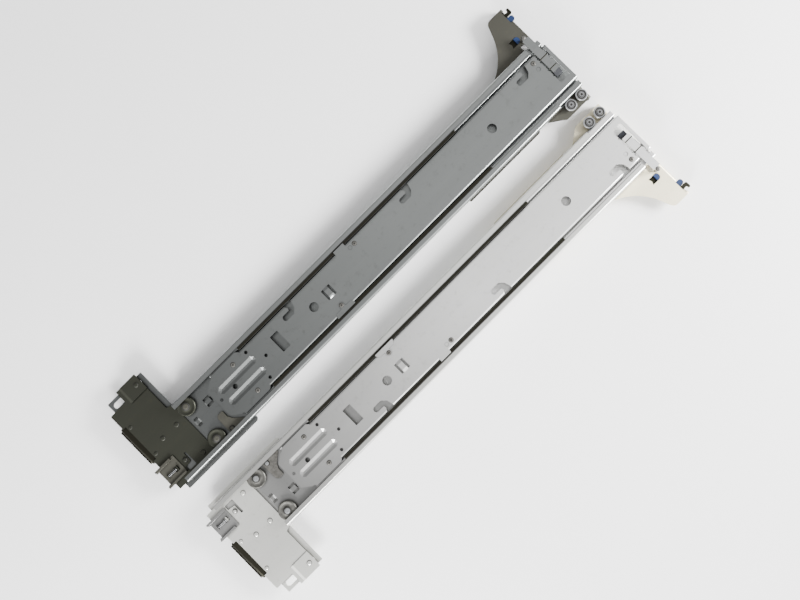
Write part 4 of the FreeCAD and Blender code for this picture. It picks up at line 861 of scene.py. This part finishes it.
class Studio(bpy.types.Operator):
    """Pale floor, soft lights and the camera"""
    bl_idname = "rails.studio"
    bl_label = "Studio"

    def execute(self, context):
        settings = context.scene.rail_studio
        self.floor(context)
        self.surround(context, settings)
        self.lamp("front light", settings.key_power, (1.15, -0.65, 0.85))
        self.lamp("rear light", settings.fill_power, (-1.05, -0.85, 0.85))
        self.camera(context, settings)
        return {"FINISHED"}

    @staticmethod
    def floor(context):
        """Matt white board, a hair below the rails."""
        deselect()
        bpy.ops.mesh.primitive_grid_add(x_subdivisions=8, y_subdivisions=8, size=9.0,
                                        location=(0, 0, -0.4 * MM))
        floor = context.object
        floor.name = "floor"
        bpy.ops.object.transform_apply(location=True, rotation=True, scale=True)
        material, tree, place = fresh_material("pale_matt_floor")
        cloud = add(tree, "ShaderNodeTexNoise", {"Vector": place, "Scale": per_mm(400), "Detail": 2.0,
                                                 "Roughness": 0.55}).outputs["Fac"]
        tint = add(tree, "ShaderNodeValToRGB", {"Fac": cloud},
                   stops=[(0.3, (0.93, 0.93, 0.93)), (0.7, (0.96, 0.96, 0.96))]).outputs["Color"]
        shader = add(tree, "ShaderNodeBsdfPrincipled", {"Base Color": tint, "Roughness": 0.9})
        add(tree, "ShaderNodeOutputMaterial", {"Surface": shader.outputs["BSDF"]})
        floor.data.materials.append(material)

    @staticmethod
    def surround(context, settings):
        """A light tent: bright low down, dimmer overhead, and in shade on the right-hand rail's side."""
        world = bpy.data.worlds.new("light tent, dimmer overhead")
        world.use_nodes = True
        tree = world.node_tree
        tree.nodes.clear()
        direction = add(tree, "ShaderNodeTexCoord").outputs["Generated"]
        axes = add(tree, "ShaderNodeSeparateXYZ", {"Vector": direction})
        by_height = add(tree, "ShaderNodeValToRGB", {"Fac": axes.outputs["Z"]},
                        stops=[(0.0, (1.0, 1.0, 1.0)), (0.5, (1.0, 1.0, 1.0)), (0.86, (0.38, 0.38, 0.38)),
                               (1.0, (0.37, 0.37, 0.37))]).outputs["Color"]
        by_side = add(tree, "ShaderNodeMapRange", {"Value": axes.outputs["Y"], "From Min": -0.55,
                                                   "From Max": 0.55, "To Min": 1.0,
                                                   "To Max": 0.18}).outputs["Result"]
        light = add(tree, "ShaderNodeMix", {0: by_side, 6: BLACK, 7: by_height}, data_type="RGBA").outputs[2]
        background = add(tree, "ShaderNodeBackground", {"Color": light, "Strength": settings.sky})
        add(tree, "ShaderNodeOutputWorld", {"Surface": background.outputs["Background"]})
        context.scene.world = world

    @staticmethod
    def lamp(name, power, place):
        """Round soft lamp 0.6 m across, turned to the middle of the rails."""
        data = bpy.data.lights.new(name, "AREA")
        data.energy = power
        data.shape = "DISK"
        data.size = 0.6
        lamp = bpy.data.objects.new(name, data)
        bpy.context.collection.objects.link(lamp)
        lamp.location = place
        lamp.rotation_euler = (-Vector(place)).to_track_quat("-Z", "Y").to_euler()

    @staticmethod
    def camera(context, settings):
        """Almost straight above the rails, turned so that they lie aslant."""
        data = bpy.data.cameras.new("camera")
        data.lens = settings.lens
        data.sensor_width = 36.0
        camera = bpy.data.objects.new("camera", data)
        context.collection.objects.link(camera)
        place = (0.0358, -0.0942, 1.5704)
        right = (0.7059, -0.7063, -0.0534)
        up = (0.7080, 0.7056, 0.0283)
        back = (0.0177, -0.0578, 0.9982)
        axes = Matrix((right, up, back)).transposed()
        camera.matrix_world = Matrix.Translation(place) @ axes.to_4x4()
        context.scene.camera = camera


OPERATORS = (Studio, SheetMetal, Mouldings, Rivets, RollerStuds, Rollers, Bearings, RaceBalls, Springs,
             LeverPivots)


class RailsPanel(bpy.types.Panel):
    """Sizes, colours and steps of the rail pair"""
    bl_idname = "VIEW3D_PT_rails"
    bl_label = "Sliding server rails"
    bl_space_type = "VIEW_3D"
    bl_region_type = "UI"
    bl_category = "Rails"

    def draw(self, context):
        for group in (context.scene.rail_sizes, context.scene.rail_colours, context.scene.rail_studio):
            for key in type(group).__annotations__:
                self.layout.prop(group, key)
        for operator in OPERATORS:
            self.layout.operator(operator.bl_idname)


CLASSES = (RailSizes, RailColours, StudioSettings, *OPERATORS, RailsPanel)


def register():
    for item in CLASSES:
        bpy.utils.register_class(item)
    bpy.types.Scene.rail_sizes = bpy.props.PointerProperty(type=RailSizes)
    bpy.types.Scene.rail_colours = bpy.props.PointerProperty(type=RailColours)
    bpy.types.Scene.rail_studio = bpy.props.PointerProperty(type=StudioSettings)


def unregister():
    del bpy.types.Scene.rail_studio
    del bpy.types.Scene.rail_colours
    del bpy.types.Scene.rail_sizes
    for item in reversed(CLASSES):
        bpy.utils.unregister_class(item)


def main():
    register()
    for operator in OPERATORS:
        group, name = operator.bl_idname.split(".")
        getattr(getattr(bpy.ops, group), name)()


if __name__ == "__main__":
    main()
